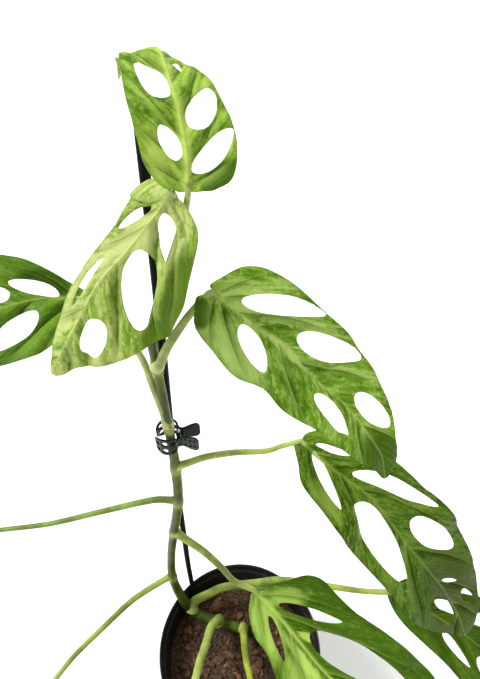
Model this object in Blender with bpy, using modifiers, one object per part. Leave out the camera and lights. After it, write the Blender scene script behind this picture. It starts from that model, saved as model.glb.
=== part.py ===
"""A potted climbing plant with windowed leaves.

A thin plant stem climbs a stake in a round nursery pot. Eleven leaves with oval
windows stand out from it on long petioles, and a small butterfly clip with a
hinged front jaw holds the stem to the stake. Metres, +Z up, origin on the floor
under the middle of the pot. The lists of places below are in millimetres.
"""

import math

import bmesh
import bpy
from mathutils import Vector

MM = 0.001
COLLECTION = "monstera_adansonii"
GAP = 0.3

# The nursery pot, in millimetres
POT_HEIGHT = 112.0
POT_TOP_RADIUS = 63.4
POT_BASE_RADIUS = 50.0
POT_WALL = 1.2
RIM_RADIUS = 65.0
RIM_HEIGHT = 9.0
DRAIN_RADIUS = 4.0
DRAIN_CIRCLE = 29.0
DRAIN_COUNT = 6
TURN_STEPS = 40

# The soil, filled to 28 mm below the rim
SOIL_TOP = 84.0
SOIL_RINGS = 7
SOIL_RELIEF = 1.4

# The stake, slightly bowed, comes up along the inside of the wall
STAKE_RADIUS = 2.0
STAKE = [
    (-34.0, 35.6, 26.0),
    (-36.6, 38.2, 56.0),
    (-39.0, 40.9, 86.0),
    (-40.2, 42.6, 103.0),
    (-41.2, 44.2, 112.0),
    (-41.9, 46.6, 160.0),
    (-41.0, 47.3, 215.0),
    (-39.8, 47.5, 281.0),
    (-37.4, 47.7, 350.0),
    (-35.4, 47.8, 400.0),
    (-33.0, 47.9, 450.0),
    (-30.7, 48.0, 512.5),
]

# The climbing stem: (x, y, z, radius) from its foot in the soil to its growing end
STEM = [
    (9.0, 16.5, 62.0, 4.3),
    (7.5, 17.0, 78.0, 4.4),
    (3.0, 18.5, 88.0, 4.4),
    (-4.0, 19.8, 91.0, 4.4),
    (-20.0, 23.2, 93.5, 4.3),
    (-42.0, 31.0, 99.0, 4.2),
    (-51.0, 36.0, 125.0, 3.8),
    (-54.5, 39.5, 155.0, 3.3),
    (-51.5, 41.0, 195.0, 3.0),
    (-45.6, 40.5, 236.0, 3.1),
    (-38.9, 41.2, 279.0, 3.0),
    (-37.0, 42.2, 318.0, 2.9),
    (-36.9, 41.8, 359.0, 2.6),
    (-37.3, 42.0, 405.0, 2.6),
    (-36.5, 39.5, 426.0, 2.2),
    (-31.0, 39.5, 447.0, 1.9),
    (-25.5, 40.5, 462.0, 1.7),
]
NODE_SWELL = 0.6
STEM_NODES = (155.0, 236.0, 279.0, 318.0, 359.0, 405.0)

# The butterfly clip: its hinge stands upright beside the stem
CLIP_AXIS = (-32.8, 44.4)
CLIP_MIDDLE = 345.8
CLIP_PLATE = 1.0
CLIP_PIN_RADIUS = 0.6
CLIP_BARREL_RADIUS = 1.45
CLIP_PIN_GAP = 0.25

BLADE_THICKNESS = 0.8
BLADE_CUTS = 12
WINDOW_POINTS = 8
PETIOLE_RADIUS = 1.8

# A lower leaf's blade, 120 long, for those on the four plain petioles
LOWER_RIGHT = [(-4, 6), (-5, 14), (4, 22), (20, 27), (42, 28), (66, 25), (88, 18), (106, 9)]
LOWER_LEFT = [(107, -8), (90, -17), (68, -24), (44, -28), (22, -27), (5, -22), (-4, -14), (-4, -6)]
LOWER_WINDOWS = [
    (27, 13, 30, 9, 28), (54, 13, 30, 9, 20), (80, 9, 22, 7, 12),
    (24, -12, 26, 8, -32), (50, -14, 32, 10, -22), (78, -9, 24, 7, -12),
]

# Each leaf: its colour, the petiole from the stem, the midrib from base to tip, the
# directions that the blade faces at even steps from its base to its tip, the lift of
# its right and left halves in degrees, its edge as (along, across) points on the right
# and on the left, and its windows as (along, across, length, breadth, turn in degrees).
# A fold turns the right half down, from a place along the midrib to the tip
LEAVES = {
    "leaf_top": dict(
        colour=(0.30, 0.50, 0.10),
        petiole=[(-26, 40.4, 460), (-22.5, 40.5, 471), (-18, 37.5, 485), (-16, 33, 494)],
        thick=(1.5, 0.9),
        midrib=[(-16, 33, 495), (-16, 39, 505), (-19, 49, 516), (-23, 61, 523), (-27, 73, 524),
                (-34.5, 83.5, 520.5), (-41.5, 92, 516), (-45.5, 98, 508)],
        face=((0.15, -1, 0.3), (0.125, -0.8, 0.65), (0.6, -0.3, 1)),
        lift=(8, 8), ripple=0.5, fold=(16, -90),
        right=[(0, 3), (1, 9), (5, 14), (14, 15.5), (26, 13.5), (34, 12), (42, 9.5), (48, 6.5), (54, 4),
               (60, 2.5), (76, 2)],
        left=[(84, -2.5), (74, -5), (64, -8), (54, -12), (41, -13.8), (31, -14.5), (16, -14), (8, -13),
              (2, -9), (0, -3)],
        windows=[(37, -5.3, 18, 8, -15), (15, -4.6, 12, 6, -17), (24, 7, 15, 9, 31), (11, 8.2, 17, 6.5, 53),
                 (43.5, 4, 4.5, 3.4, 0)]),
    "leaf_pale": dict(
        colour=(0.52, 0.68, 0.24),
        petiole=[(-28.5, 39.5, 455), (-25, 36, 464), (-20, 35.5, 480), (-20, 34, 491), (-21, 33, 495)],
        thick=(1.4, 0.9),
        midrib=[(-21, 33, 495), (-27, 27, 489), (-36, 24, 479), (-47, 23, 467), (-60, 20, 447),
                (-73, 21, 426)],
        face=((0, -1, 0.8), (0.1, -1, 0.5)),
        lift=(-48, 5), ripple=1.0,
        right=[(-2.6, 5.5), (-2.5, 11.5), (1.5, 18.5), (7, 19.5), (19, 17.5), (28, 16), (38, 13.5),
               (48, 13), (56, 13.5), (66, 12), (80, 8)],
        left=[(89, -4), (80, -8), (72, -14), (62, -20), (50, -25), (38, -29), (26, -26), (15, -20),
              (6, -14), (1, -6)],
        windows=[(16.5, 9.8, 22, 5.5, 24), (12, -7.2, 16, 6.4, -46), (33, -11.5, 31, 13, -32),
                 (47, 7.3, 24, 4.5, 3), (62, -7.5, 20, 10, -5)]),
    "leaf_far_left": dict(
        colour=(0.10, 0.32, 0.04),
        petiole=[(-36.9, 41.8, 360), (-37.9, 42, 369), (-38.9, 41.8, 378), (-41.7, 44.3, 390),
                 (-45.2, 48.5, 403), (-54.6, 55, 417), (-68, 60, 430)],
        thick=(2.0, 1.1),
        midrib=[(-68, 60, 430), (-86, 58, 431), (-103, 53, 430), (-129, 48, 425), (-162, 47, 409)],
        face=((-0.2, -0.6, 1), (-0.2, -0.6, 1)),
        lift=(5, 5), ripple=0.8,
        right=[(1, 4), (8, 8), (16, 14), (24, 21), (32, 25), (45, 28), (58, 26), (74, 19), (90, 8)],
        left=[(91, -7), (76, -16), (62, -22), (48, -25), (34, -26), (22, -25), (11, -20), (3, -11), (0, -4)],
        windows=[(21, 6.5, 22, 6, 27), (42, 9, 24, 9, 20), (64, 10, 18, 7, 15), (32, -12, 26, 12, -27),
                 (60, -11, 20, 8, -18), (79, -4, 13, 5, -8)]),
    "leaf_right": dict(
        colour=(0.24, 0.50, 0.08),
        petiole=[(-37.3, 42, 405), (-34.6, 37, 412), (-30, 36.8, 423), (-22, 38.5, 436), (-15, 40.3, 445),
                 (-11, 41, 449)],
        thick=(2.2, 1.1),
        midrib=[(-11, 41, 449), (2, 34, 442), (17, 29, 431), (31, 25, 416), (45, 22, 402),
                (62, 14, 380), (66, 9, 367)],
        face=((0, -0.7, 0.8), (0.3, -0.6, 0.8)),
        lift=(6, 6), ripple=0.9,
        right=[(-3, 5), (-1, 9), (4, 15), (14, 18), (26, 21), (40, 18), (52, 19), (66, 17), (84, 15),
               (102, 11), (116, 4)],
        left=[(118, -5), (104, -11), (88, -17), (70, -21), (56, -23), (40, -22), (26, -22), (12, -20),
              (4, -15), (0, -7), (-2, -2)],
        windows=[(26, -13, 34, 8.5, -30), (53, -13, 35, 11, -23), (88, -8, 25, 9.5, -9),
                 (26, 8, 21, 8, 26), (73, 7, 28, 7.5, 7)]),
    "leaf_lower_right": dict(
        colour=(0.12, 0.34, 0.04),
        petiole=[(-37, 42.2, 319), (-31.4, 42, 322), (-19, 46, 323), (-3.5, 50, 321), (15, 52.3, 319),
                 (24, 54.8, 320), (36, 58, 321)],
        thick=(2.3, 1.4),
        midrib=[(36, 58, 321), (55, 43, 314), (77, 31, 302), (92, 21, 285), (109, 11, 264),
                (128, 3, 239), (142, -4, 216), (151, -12, 196)],
        face=((0.1, -0.5, 1), (0.1, -0.6, 1)),
        lift=(5, 5), ripple=1.4,
        right=[(-2, 4), (7, 11), (16, 19), (30, 23), (44, 28), (58, 30), (76, 29), (94, 28), (112, 28),
               (130, 29), (154, 24), (176, 13)],
        left=[(186, -9), (174, -17), (158, -22), (138, -28), (119, -33), (102, -34), (86, -33), (70, -29),
              (54, -26), (38, -25), (22, -22), (8, -16), (0, -6)],
        windows=[(24, 8, 35, 6.5, 30), (77, 12, 62, 18, 7), (19, -9.5, 24, 4.5, -22), (62, -17, 60, 9, -25),
                 (102, -16, 43, 16, -16), (154, 8.5, 40, 14, -9), (141, -7, 12, 5, -31),
                 (164, -11.5, 18, 7, -14)]),
    "leaf_left": dict(
        colour=(0.16, 0.42, 0.06),
        petiole=[(-38.9, 41.2, 279), (-44.5, 41.4, 280), (-57, 42, 278), (-91, 40.7, 265), (-126, 38.3, 253),
                 (-160, 37.8, 245), (-172, 37, 243)],
        thick=(2.4, 1.4),
        midrib=[(-172, 37, 243), (-195, 30, 236), (-225, 20, 217), (-249, 10, 193), (-264, 3, 170)],
        face=((-0.2, -0.4, 1), (-0.5, -0.4, 1)),
        lift=(8, 8), ripple=1.0, right=LOWER_RIGHT, left=LOWER_LEFT, windows=LOWER_WINDOWS),
    "leaf_over_pot": dict(
        colour=(0.16, 0.44, 0.06),
        petiole=[(-45.6, 40.5, 237), (-40, 37, 236), (-25.4, 30.4, 228), (-13.3, 24.5, 215), (-4.2, 19.4, 203),
                 (10, 16, 195)],
        thick=(2.9, 1.8),
        midrib=[(10, 16, 195), (25, 3, 189), (37, -9, 184), (53, -25, 175), (74, -43, 164),
                (101, -67, 140), (125, -91, 103)],
        face=((0.1, -0.3, 1), (0.2, -0.2, 1)),
        lift=(6, 6), ripple=1.2,
        right=[(2, 6), (8, 14), (20, 21), (34, 22), (48, 27), (62, 34), (80, 38), (102, 38), (130, 32),
               (152, 26), (174, 13)],
        left=[(182, -16), (170, -34), (152, -49), (132, -55), (112, -53), (90, -49), (68, -44), (46, -41),
              (30, -40), (21, -34), (14, -22), (7, -12), (1, -5)],
        windows=[(38, -18, 46, 7, -34), (86, -22, 84, 21, -19), (147, -22, 30, 13, -28), (32, 10.5, 29, 6, 23),
                 (105, 17, 38, 12, 12), (144, 12, 28, 9, 2)]),
    "leaf_low_left": dict(
        colour=(0.20, 0.44, 0.07),
        petiole=[(-54.5, 39.5, 156), (-61, 36, 156), (-83, 20.7, 158), (-102, -1.7, 165), (-116, -18, 168),
                 (-126, -32, 168), (-138, -47, 165)],
        thick=(2.6, 1.5),
        midrib=[(-138, -47, 165), (-152, -66, 158), (-170, -91, 139), (-183, -112, 115), (-190, -125, 93)],
        face=((-0.3, -0.2, 1), (-0.5, -0.6, 0.8)),
        lift=(8, 8), ripple=1.0, right=LOWER_RIGHT, left=LOWER_LEFT, windows=LOWER_WINDOWS),
    "leaf_low_right": dict(
        colour=(0.16, 0.34, 0.05),
        petiole=[(-42, 31, 100), (-39.5, 35, 107), (-27, 39, 114), (-13, 42.3, 121), (14, 42, 132),
                 (37, 41.5, 140), (74, 33, 150), (95, 28, 156), (116, 25, 162)],
        thick=(3.4, 1.6),
        midrib=[(116, 25, 162), (143, 12, 160), (177, -5, 146), (220, -30, 118), (260, -59, 78)],
        face=((0.2, -0.3, 1), (0.3, -0.3, 1)),
        lift=(5, 5), ripple=1.2,
        right=[(0, 4), (8, 12), (18, 18), (32, 22), (50, 26), (70, 30), (92, 33), (122, 35), (152, 29),
               (178, 14)],
        left=[(184, -12), (172, -25), (142, -40), (108, -42), (78, -37), (56, -28), (40, -22), (26, -19),
              (11, -16), (3, -8)],
        windows=[(46, -11.5, 28, 8, -10), (76, -20, 34, 10, -26), (110, -22, 34, 13, -20),
                 (146, -16, 28, 10, -18), (58, 13, 30, 8, 18), (93, 12, 36, 13, 10), (133, 15, 32, 10, 8)]),
    "leaf_front_left": dict(
        colour=(0.22, 0.46, 0.08),
        petiole=[(-19, 23, 94), (-18, 22.4, 103), (-24, 14, 112), (-27.4, -1.3, 122), (-30.6, -13.8, 130),
                 (-32.5, -25.4, 137), (-36, -45, 146), (-39, -65, 152), (-42, -82, 154)],
        thick=(2.9, 1.5),
        midrib=[(-42, -82, 154), (-46, -105, 150), (-54, -134, 134), (-62, -158, 111), (-66, -171, 90)],
        face=((-0.2, 0, 1), (-0.3, -0.7, 0.7)),
        lift=(8, 8), ripple=1.0, right=LOWER_RIGHT, left=LOWER_LEFT, windows=LOWER_WINDOWS),
    "leaf_front_right": dict(
        colour=(0.18, 0.42, 0.06),
        petiole=[(2, 19, 90), (3, 14, 97), (4.1, -0.5, 103), (5.6, -11.5, 109), (7.8, -21.3, 115),
                 (11, -42, 124), (14, -62, 131), (16, -80, 134)],
        thick=(2.6, 1.4),
        midrib=[(16, -80, 134), (20, -103, 131), (27, -131, 117), (33, -155, 95), (36, -168, 74)],
        face=((0.2, 0, 1), (0.3, -0.7, 0.7)),
        lift=(8, 8), ripple=1.0, right=LOWER_RIGHT, left=LOWER_LEFT, windows=LOWER_WINDOWS),
}

# The clip's half plates: bent along (x, y) from the finger wing's tip past the hinge
# to the jaw's tip, with the hinge at (0, 0) and the stem on the -X side. Edges and
# holes are (along, up), and a hole has its length, breadth and turn as well
CLIP_BEND = [(11.2, -5.2), (6.5, -4.0), (2.4, -2.9), (-0.1, -3.6), (-1.7, -5.8), (-4.6, -6.9), (-8.6, -6.3),
             (-11.4, -3.8), (-12.3, -0.9)]
WING_EDGE = [(0.2, 3.4), (1.6, 5.3), (3.6, 5.5), (5.6, 5.1), (8.4, 4.2), (12.0, 3.6)]
JAW_EDGE = [(14.0, 5.2), (17.0, 6.4), (21.5, 6.6), (24.8, 5.4), (27.4, 3.2)]
JAW_HOLES = [(15.4, 2.9, 3.0, 3.6, 0), (19.6, 3.1, 3.4, 4.0, 0), (23.9, 2.7, 3.2, 3.4, 0)]


def start_scene():
    """Empties the scene and makes the two collections."""
    for item in list(bpy.data.objects):
        bpy.data.objects.remove(item, do_unlink=True)
    made = []
    for name in (COLLECTION, "cutters"):
        group = bpy.data.collections.new(name)
        bpy.context.scene.collection.children.link(group)
        made.append(group)
    return made


def plain_material(name, colour, roughness):
    """A Principled material of one colour."""
    material = bpy.data.materials.new(name)
    material.use_nodes = True
    shader = material.node_tree.nodes["Principled BSDF"]
    shader.inputs["Base Color"].default_value = (*colour, 1.0)
    shader.inputs["Roughness"].default_value = roughness
    shader.inputs["Metallic"].default_value = 0.0
    return material


def place(name, mesh, group, material=None, smooth=True):
    """Makes an object of a mesh and links it."""
    made = bpy.data.objects.new(name, mesh)
    group.objects.link(made)
    if material:
        mesh.materials.clear()
        mesh.materials.append(material)
    if smooth:
        mesh.shade_smooth()
        mesh.set_sharp_from_angle(angle=math.radians(35))
    return made


def evaluated_mesh(item):
    """The object's mesh with its modifiers on."""
    bpy.context.view_layer.update()
    graph = bpy.context.evaluated_depsgraph_get()
    return bpy.data.meshes.new_from_object(item.evaluated_get(graph))


def clean_mesh(mesh, distance=1e-6):
    """Welds loose seams and turns the faces outwards."""
    work = bmesh.new()
    work.from_mesh(mesh)
    bmesh.ops.remove_doubles(work, verts=work.verts, dist=distance)
    bmesh.ops.recalc_face_normals(work, faces=work.faces)
    work.to_mesh(mesh)
    work.free()
    return mesh


def curve_between(points, steps, closed=False):
    """Catmull-Rom points through the given ones, of any number of coordinates."""
    count = len(points)
    size = len(points[0])

    def at(i):
        if closed:
            return points[i % count]
        if i < 0:
            return [2 * points[0][k] - points[1][k] for k in range(size)]
        if i >= count:
            return [2 * points[-1][k] - points[-2][k] for k in range(size)]
        return points[i]

    made = []
    for i in range(count if closed else count - 1):
        p0, p1, p2, p3 = at(i - 1), at(i), at(i + 1), at(i + 2)
        for j in range(steps):
            t = j / steps
            made.append(tuple(
                0.5 * (2 * p1[k] + (p2[k] - p0[k]) * t
                       + (2 * p0[k] - 5 * p1[k] + 4 * p2[k] - p3[k]) * t * t
                       + (3 * p1[k] - p0[k] - 3 * p2[k] + p3[k]) * t ** 3)
                for k in range(size)))
    if not closed:
        made.append(tuple(points[-1]))
    return made


def tube_mesh(points, name):
    """A round tube through (x, y, z, radius) points in millimetres."""
    data = bpy.data.curves.new(name, "CURVE")
    data.dimensions = "3D"
    data.bevel_depth = MM
    data.bevel_resolution = 2
    data.use_fill_caps = True
    spline = data.splines.new("POLY")
    spline.points.add(len(points) - 1)
    for point, (x, y, z, radius) in zip(spline.points, points):
        point.co = (x * MM, y * MM, z * MM, 1.0)
        point.radius = radius
    item = bpy.data.objects.new(name, data)
    bpy.context.scene.collection.objects.link(item)
    mesh = clean_mesh(evaluated_mesh(item))
    bpy.data.objects.remove(item, do_unlink=True)
    return mesh


def boolean(item, other, operation, solver="EXACT"):
    """Applies one Boolean of another object to an object."""
    cut = item.modifiers.new("cut", "BOOLEAN")
    cut.operation = operation
    cut.solver = solver
    cut.object = other
    mesh = clean_mesh(evaluated_mesh(item))
    item.modifiers.remove(cut)
    old = item.data
    item.data = mesh
    bpy.data.meshes.remove(old)


def egg(along, across, length, breadth, turn):
    """A window's outline: an oval, a little blunter at its inner end."""
    made = []
    angle = math.radians(turn)
    for i in range(WINDOW_POINTS):
        t = 2 * math.pi * i / WINDOW_POINTS
        u = 0.5 * length * math.cos(t)
        v = 0.5 * breadth * math.sin(t) * (1 - 0.18 * math.cos(t))
        made.append((along + u * math.cos(angle) - v * math.sin(angle),
                     across + u * math.sin(angle) + v * math.cos(angle)))
    return made


def flat_sheet(outlines, along_cuts, across_cuts):
    """A flat filled outline with holes, cut along a grid and split into triangles."""
    data = bpy.data.curves.new("outline", "CURVE")
    data.dimensions = "2D"
    data.fill_mode = "BOTH"
    for points in outlines:
        spline = data.splines.new("POLY")
        spline.points.add(len(points) - 1)
        spline.use_cyclic_u = True
        for point, (x, y) in zip(spline.points, points):
            point.co = (x, y, 0.0, 1.0)
    item = bpy.data.objects.new("outline", data)
    bpy.context.scene.collection.objects.link(item)
    mesh = evaluated_mesh(item)
    bpy.data.objects.remove(item, do_unlink=True)
    work = bmesh.new()
    work.from_mesh(mesh)
    bmesh.ops.remove_doubles(work, verts=work.verts, dist=1e-4)
    for place_at, normal in ([((x, 0, 0), (1, 0, 0)) for x in along_cuts]
                             + [((0, y, 0), (0, 1, 0)) for y in across_cuts]):
        every = work.verts[:] + work.edges[:] + work.faces[:]
        cut = bmesh.ops.bisect_plane(work, geom=every, plane_co=place_at, plane_no=normal, dist=0.05)
        for part in cut["geom_cut"]:
            if isinstance(part, bmesh.types.BMEdge):
                part.seam = True
    bmesh.ops.dissolve_limit(work, angle_limit=0.01, use_dissolve_boundaries=False,
                             verts=work.verts, edges=work.edges, delimit={"SEAM"})
    bmesh.ops.triangulate(work, faces=work.faces, quad_method="BEAUTY", ngon_method="BEAUTY")
    bmesh.ops.recalc_face_normals(work, faces=work.faces)
    if sum(face.normal.z for face in work.faces) < 0:
        bmesh.ops.reverse_faces(work, faces=work.faces)
    work.to_mesh(mesh)
    work.free()
    return mesh


class Blade:
    """The curved surface that a leaf's flat outline is laid on."""

    def __init__(self, leaf):
        self.path = [Vector(p) for p in curve_between(leaf["midrib"], 24)]
        self.reach = [0.0]
        for a, b in zip(self.path, self.path[1:]):
            self.reach.append(self.reach[-1] + (b - a).length)
        self.length = self.reach[-1]
        self.faces = [Vector(v).normalized() for v in leaf["face"]]
        self.lift = [math.radians(v) for v in leaf["lift"]]
        self.fold_start, turn = leaf.get("fold", (0, 0))
        self.fold = math.radians(turn)
        self.ripple = leaf["ripple"]
        self.half = max(abs(p[1]) for p in leaf["right"] + leaf["left"])

    def middle(self, along):
        """A place on the midrib, or straight on past its ends."""
        if along <= 0:
            start = (self.path[3] - self.path[0]).normalized()
            return self.path[0] + start * along
        if along >= self.length:
            end = (self.path[-1] - self.path[-4]).normalized()
            return self.path[-1] + end * (along - self.length)
        i = next(k for k, reach in enumerate(self.reach) if reach >= along)
        part = (along - self.reach[i - 1]) / (self.reach[i] - self.reach[i - 1])
        return self.path[i - 1].lerp(self.path[i], part)

    def frame(self, along):
        """The midrib's direction, the way across, and the way out of the face."""
        ahead = (self.middle(along + 1.5) - self.middle(along - 1.5)).normalized()
        step = min(max(along / self.length, 0.0), 1.0) * (len(self.faces) - 1)
        low = min(int(step), len(self.faces) - 2)
        across = ahead.cross(self.faces[low].lerp(self.faces[low + 1], step - low)).normalized()
        return ahead, across, across.cross(ahead)

    def at(self, along, across):
        """The place of an (along, across) point, in millimetres."""
        _, side, out = self.frame(along)
        past = max(along - self.fold_start, 0.0) / (self.length - self.fold_start)
        lift = self.lift[0] + self.fold * min(past, 1.0) if across > 0 else self.lift[1]
        edge = (across / self.half) ** 2
        wave = self.ripple * edge * math.sin(along / 7.0 + (1.3 if across > 0 else 0.0))
        rise = abs(across) * math.sin(lift) + wave
        return self.middle(along) + side * across * math.cos(lift) + out * rise


def leaf_blade(leaf, blade):
    """The thin closed solid of a blade with its windows."""
    tip = [(blade.length + 1.5, 0.0)]
    edge = [(0.0, 0.0)] + leaf["right"] + tip + leaf["left"]
    outlines = [edge] + [egg(*window) for window in leaf["windows"]]
    along_cuts = [blade.length * k / BLADE_CUTS for k in range(1, BLADE_CUTS)]
    mesh = flat_sheet(outlines, along_cuts, (0.0,))
    for vertex in mesh.vertices:
        vertex.co = blade.at(vertex.co.x, vertex.co.y) * MM
    item = bpy.data.objects.new("blade", mesh)
    bpy.context.scene.collection.objects.link(item)
    thick = item.modifiers.new("thickness", "SOLIDIFY")
    thick.thickness = BLADE_THICKNESS * MM
    thick.offset = 0.0
    solid = clean_mesh(evaluated_mesh(item))
    bpy.data.objects.remove(item, do_unlink=True)
    return solid


def petiole_points(leaf, blade):
    """The petiole's tube, which runs on under the midrib for a short way."""
    start, end = leaf["thick"]
    points = [list(p) for p in leaf["petiole"]]
    last = len(points) - 1
    run = [(*p, start + (end - start) * i / last) for i, p in enumerate(points)]
    for along in (6.0, 13.0):
        _, _, out = blade.frame(along)
        p = blade.middle(along) - out * 0.4
        run.append((p.x, p.y, p.z, end * (0.85 if along < 10 else 0.55)))
    return curve_between(run, 2)


def build_leaf(name, leaf, group, stem_cutter):
    """One leaf: blade and petiole in one solid, cut clear of the stem."""
    blade = Blade(leaf)
    material = plain_material(name, leaf["colour"], 0.42)
    item = place(name, leaf_blade(leaf, blade), group, material)
    scene = bpy.context.scene.collection
    tube = place("petiole", tube_mesh(petiole_points(leaf, blade), "petiole"), scene)
    boolean(item, tube, "UNION")
    bpy.data.objects.remove(tube, do_unlink=True)
    boolean(item, stem_cutter, "DIFFERENCE")
    keep_largest(item.data)
    place_finish(item, material)
    return item


def place_finish(item, material):
    """Gives a cut mesh its material and smooth shading back."""
    item.data.materials.clear()
    item.data.materials.append(material)
    item.data.shade_smooth()
    item.data.set_sharp_from_angle(angle=math.radians(35))


def keep_largest(mesh):
    """Drops the scraps that a cut leaves loose."""
    work = bmesh.new()
    work.from_mesh(mesh)
    left = set(work.verts)
    islands = []
    while left:
        grow = [left.pop()]
        island = set(grow)
        while grow:
            for edge in grow.pop().link_edges:
                for vertex in edge.verts:
                    if vertex in left:
                        left.remove(vertex)
                        island.add(vertex)
                        grow.append(vertex)
        islands.append(island)
    islands.sort(key=len)
    scraps = [v for island in islands[:-1] for v in island]
    bmesh.ops.delete(work, geom=scraps, context="VERTS")
    work.to_mesh(mesh)
    work.free()


def turned(name, profile, group, steps=TURN_STEPS):
    """A turned solid from an (radius, height) profile in millimetres."""
    mesh = bpy.data.meshes.new(name)
    points = [(r * MM, 0.0, z * MM) for r, z in profile]
    mesh.from_pydata(points, [(i, i + 1) for i in range(len(points) - 1)], [])
    item = place(name, mesh, group, smooth=False)
    screw = item.modifiers.new("turn", "SCREW")
    screw.steps = steps
    screw.render_steps = steps
    screw.use_merge_vertices = True
    screw.merge_threshold = 0.00001
    item.data = clean_mesh(evaluated_mesh(item))
    item.modifiers.clear()
    return item


def wall_radius(height, outside=True):
    """The pot wall's radius at a height."""
    slope = (POT_TOP_RADIUS - POT_BASE_RADIUS) / POT_HEIGHT
    return POT_BASE_RADIUS + slope * height - (0.0 if outside else POT_WALL)


def build_pot(group):
    """The round nursery pot with a banded rim and drain holes in its flat floor."""
    floor = POT_WALL
    band = POT_HEIGHT - RIM_HEIGHT
    profile = [
        (0.0, floor), (wall_radius(floor, False), floor),
        (wall_radius(band, False), band), (RIM_RADIUS - 2.2, band + 2.0),
        (RIM_RADIUS - 1.6, POT_HEIGHT - 0.6), (RIM_RADIUS - 0.9, POT_HEIGHT),
        (RIM_RADIUS - 0.2, POT_HEIGHT - 0.5), (RIM_RADIUS, POT_HEIGHT - 1.4),
        (RIM_RADIUS - 0.6, band), (wall_radius(band), band - 0.6),
        (wall_radius(2.0), 2.0), (POT_BASE_RADIUS - 1.6, 0.0), (0.0, 0.0),
    ]
    pot = turned("pot", profile, group)
    for i in range(DRAIN_COUNT):
        angle = 2 * math.pi * (i + 0.5) / DRAIN_COUNT
        bpy.ops.mesh.primitive_cylinder_add(
            vertices=16, radius=DRAIN_RADIUS * MM, depth=10 * MM,
            location=(DRAIN_CIRCLE * MM * math.cos(angle), DRAIN_CIRCLE * MM * math.sin(angle), 3 * MM))
        drill = bpy.context.active_object
        drill.name = "drain_cutter"
        boolean(pot, drill, "DIFFERENCE")
        bpy.data.objects.remove(drill, do_unlink=True)
    place_finish(pot, plain_material("pot", (0.012, 0.012, 0.013), 0.45))
    return pot


def soil_height(x, y):
    """The soil's loose relief, in millimetres above its level."""
    return SOIL_RELIEF * (0.5 * math.sin(0.37 * x + 1.0) * math.cos(0.31 * y)
                          + 0.3 * math.sin(0.71 * x - 0.62 * y) + 0.2 * math.cos(0.9 * y + 0.5 * x))


def build_soil(group, stem_cutter, stake_cutter):
    """The soil, a little clear of the wall, with plain holes for stem and stake."""
    bottom = POT_WALL + GAP
    top = wall_radius(SOIL_TOP, False) - 0.4
    rings = [(top * i / SOIL_RINGS, SOIL_TOP) for i in range(SOIL_RINGS + 1)]
    profile = rings + [(wall_radius(bottom, False) - 0.4, bottom), (0.0, bottom)]
    soil = turned("soil", profile, group)
    for vertex in soil.data.vertices:
        x, y, z = vertex.co / MM
        if z > SOIL_TOP - 1 and math.hypot(x, y) < top - 1:
            edge = 1 - (math.hypot(x, y) / top) ** 6
            vertex.co.z += soil_height(x, y) * edge * MM
    boolean(soil, stem_cutter, "DIFFERENCE")
    boolean(soil, stake_cutter, "DIFFERENCE")
    place_finish(soil, plain_material("soil", (0.09, 0.045, 0.025), 0.95))
    return soil


def stem_points(grow):
    """The stem's tube with its swollen nodes, made thicker and longer by grow."""
    made = []
    for x, y, z, radius in curve_between(STEM, 4):
        swell = sum(math.exp(-((z - node) / 4.0) ** 2) for node in STEM_NODES)
        made.append((x, y, z, radius + NODE_SWELL * swell + grow))
    return longer(made, grow)


def stake_points(grow):
    """The stake's rod with a rounded top, made thicker and longer by grow."""
    made = [(*point, STAKE_RADIUS + grow) for point in curve_between(STAKE, 2)]
    x, y, z, _ = made[-1]
    made.append((x, y, z + 1.0, 0.6 * STAKE_RADIUS + grow))
    return longer(made, grow)


def longer(points, reach):
    """The same tube, longer at both ends by reach."""
    first, second, before, last = (Vector(points[i][:3]) for i in (0, 1, -2, -1))
    start = first + (first - second).normalized() * reach
    end = last + (last - before).normalized() * reach
    return [(*start, points[0][3])] + points[1:-1] + [(*end, points[-1][3])]


def half_plate():
    """One half of the clip as a bent open-work plate, hinge at the origin, jaw to -X."""
    path = [Vector(p) for p in curve_between(CLIP_BEND, 8)]
    reach = [0.0]
    for a, b in zip(path, path[1:]):
        reach.append(reach[-1] + (b - a).length)
    upper = WING_EDGE + JAW_EDGE
    edge = upper + [(x, -y) for x, y in reversed(upper)]
    holes = [egg(*hole) for hole in JAW_HOLES]
    holes += [egg(x, -y, length, breadth, turn) for x, y, length, breadth, turn in JAW_HOLES]
    cuts = [reach[8 * k] for k in range(1, len(CLIP_BEND) - 1)]
    mesh = flat_sheet([curve_between(edge, 2, closed=True)] + holes, cuts, (0.0,))
    for vertex in mesh.vertices:
        along = min(max(vertex.co.x, 0.0), reach[-1] - 0.001)
        i = next(k for k in range(1, len(reach)) if reach[k] >= along)
        part = (along - reach[i - 1]) / (reach[i] - reach[i - 1])
        flat = path[i - 1].lerp(path[i], part)
        extra = (path[-1] - path[-3]).normalized() * max(vertex.co.x - reach[-1], 0.0)
        start = (path[0] - path[2]).normalized() * max(-vertex.co.x, 0.0)
        flat = flat + extra + start
        vertex.co = Vector((flat.x, flat.y, vertex.co.y)) * MM
    item = bpy.data.objects.new("plate", mesh)
    bpy.context.scene.collection.objects.link(item)
    thick = item.modifiers.new("thickness", "SOLIDIFY")
    thick.thickness = CLIP_PLATE * MM
    thick.offset = 0.0
    solid = clean_mesh(evaluated_mesh(item))
    bpy.data.objects.remove(item, do_unlink=True)
    return solid


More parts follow.
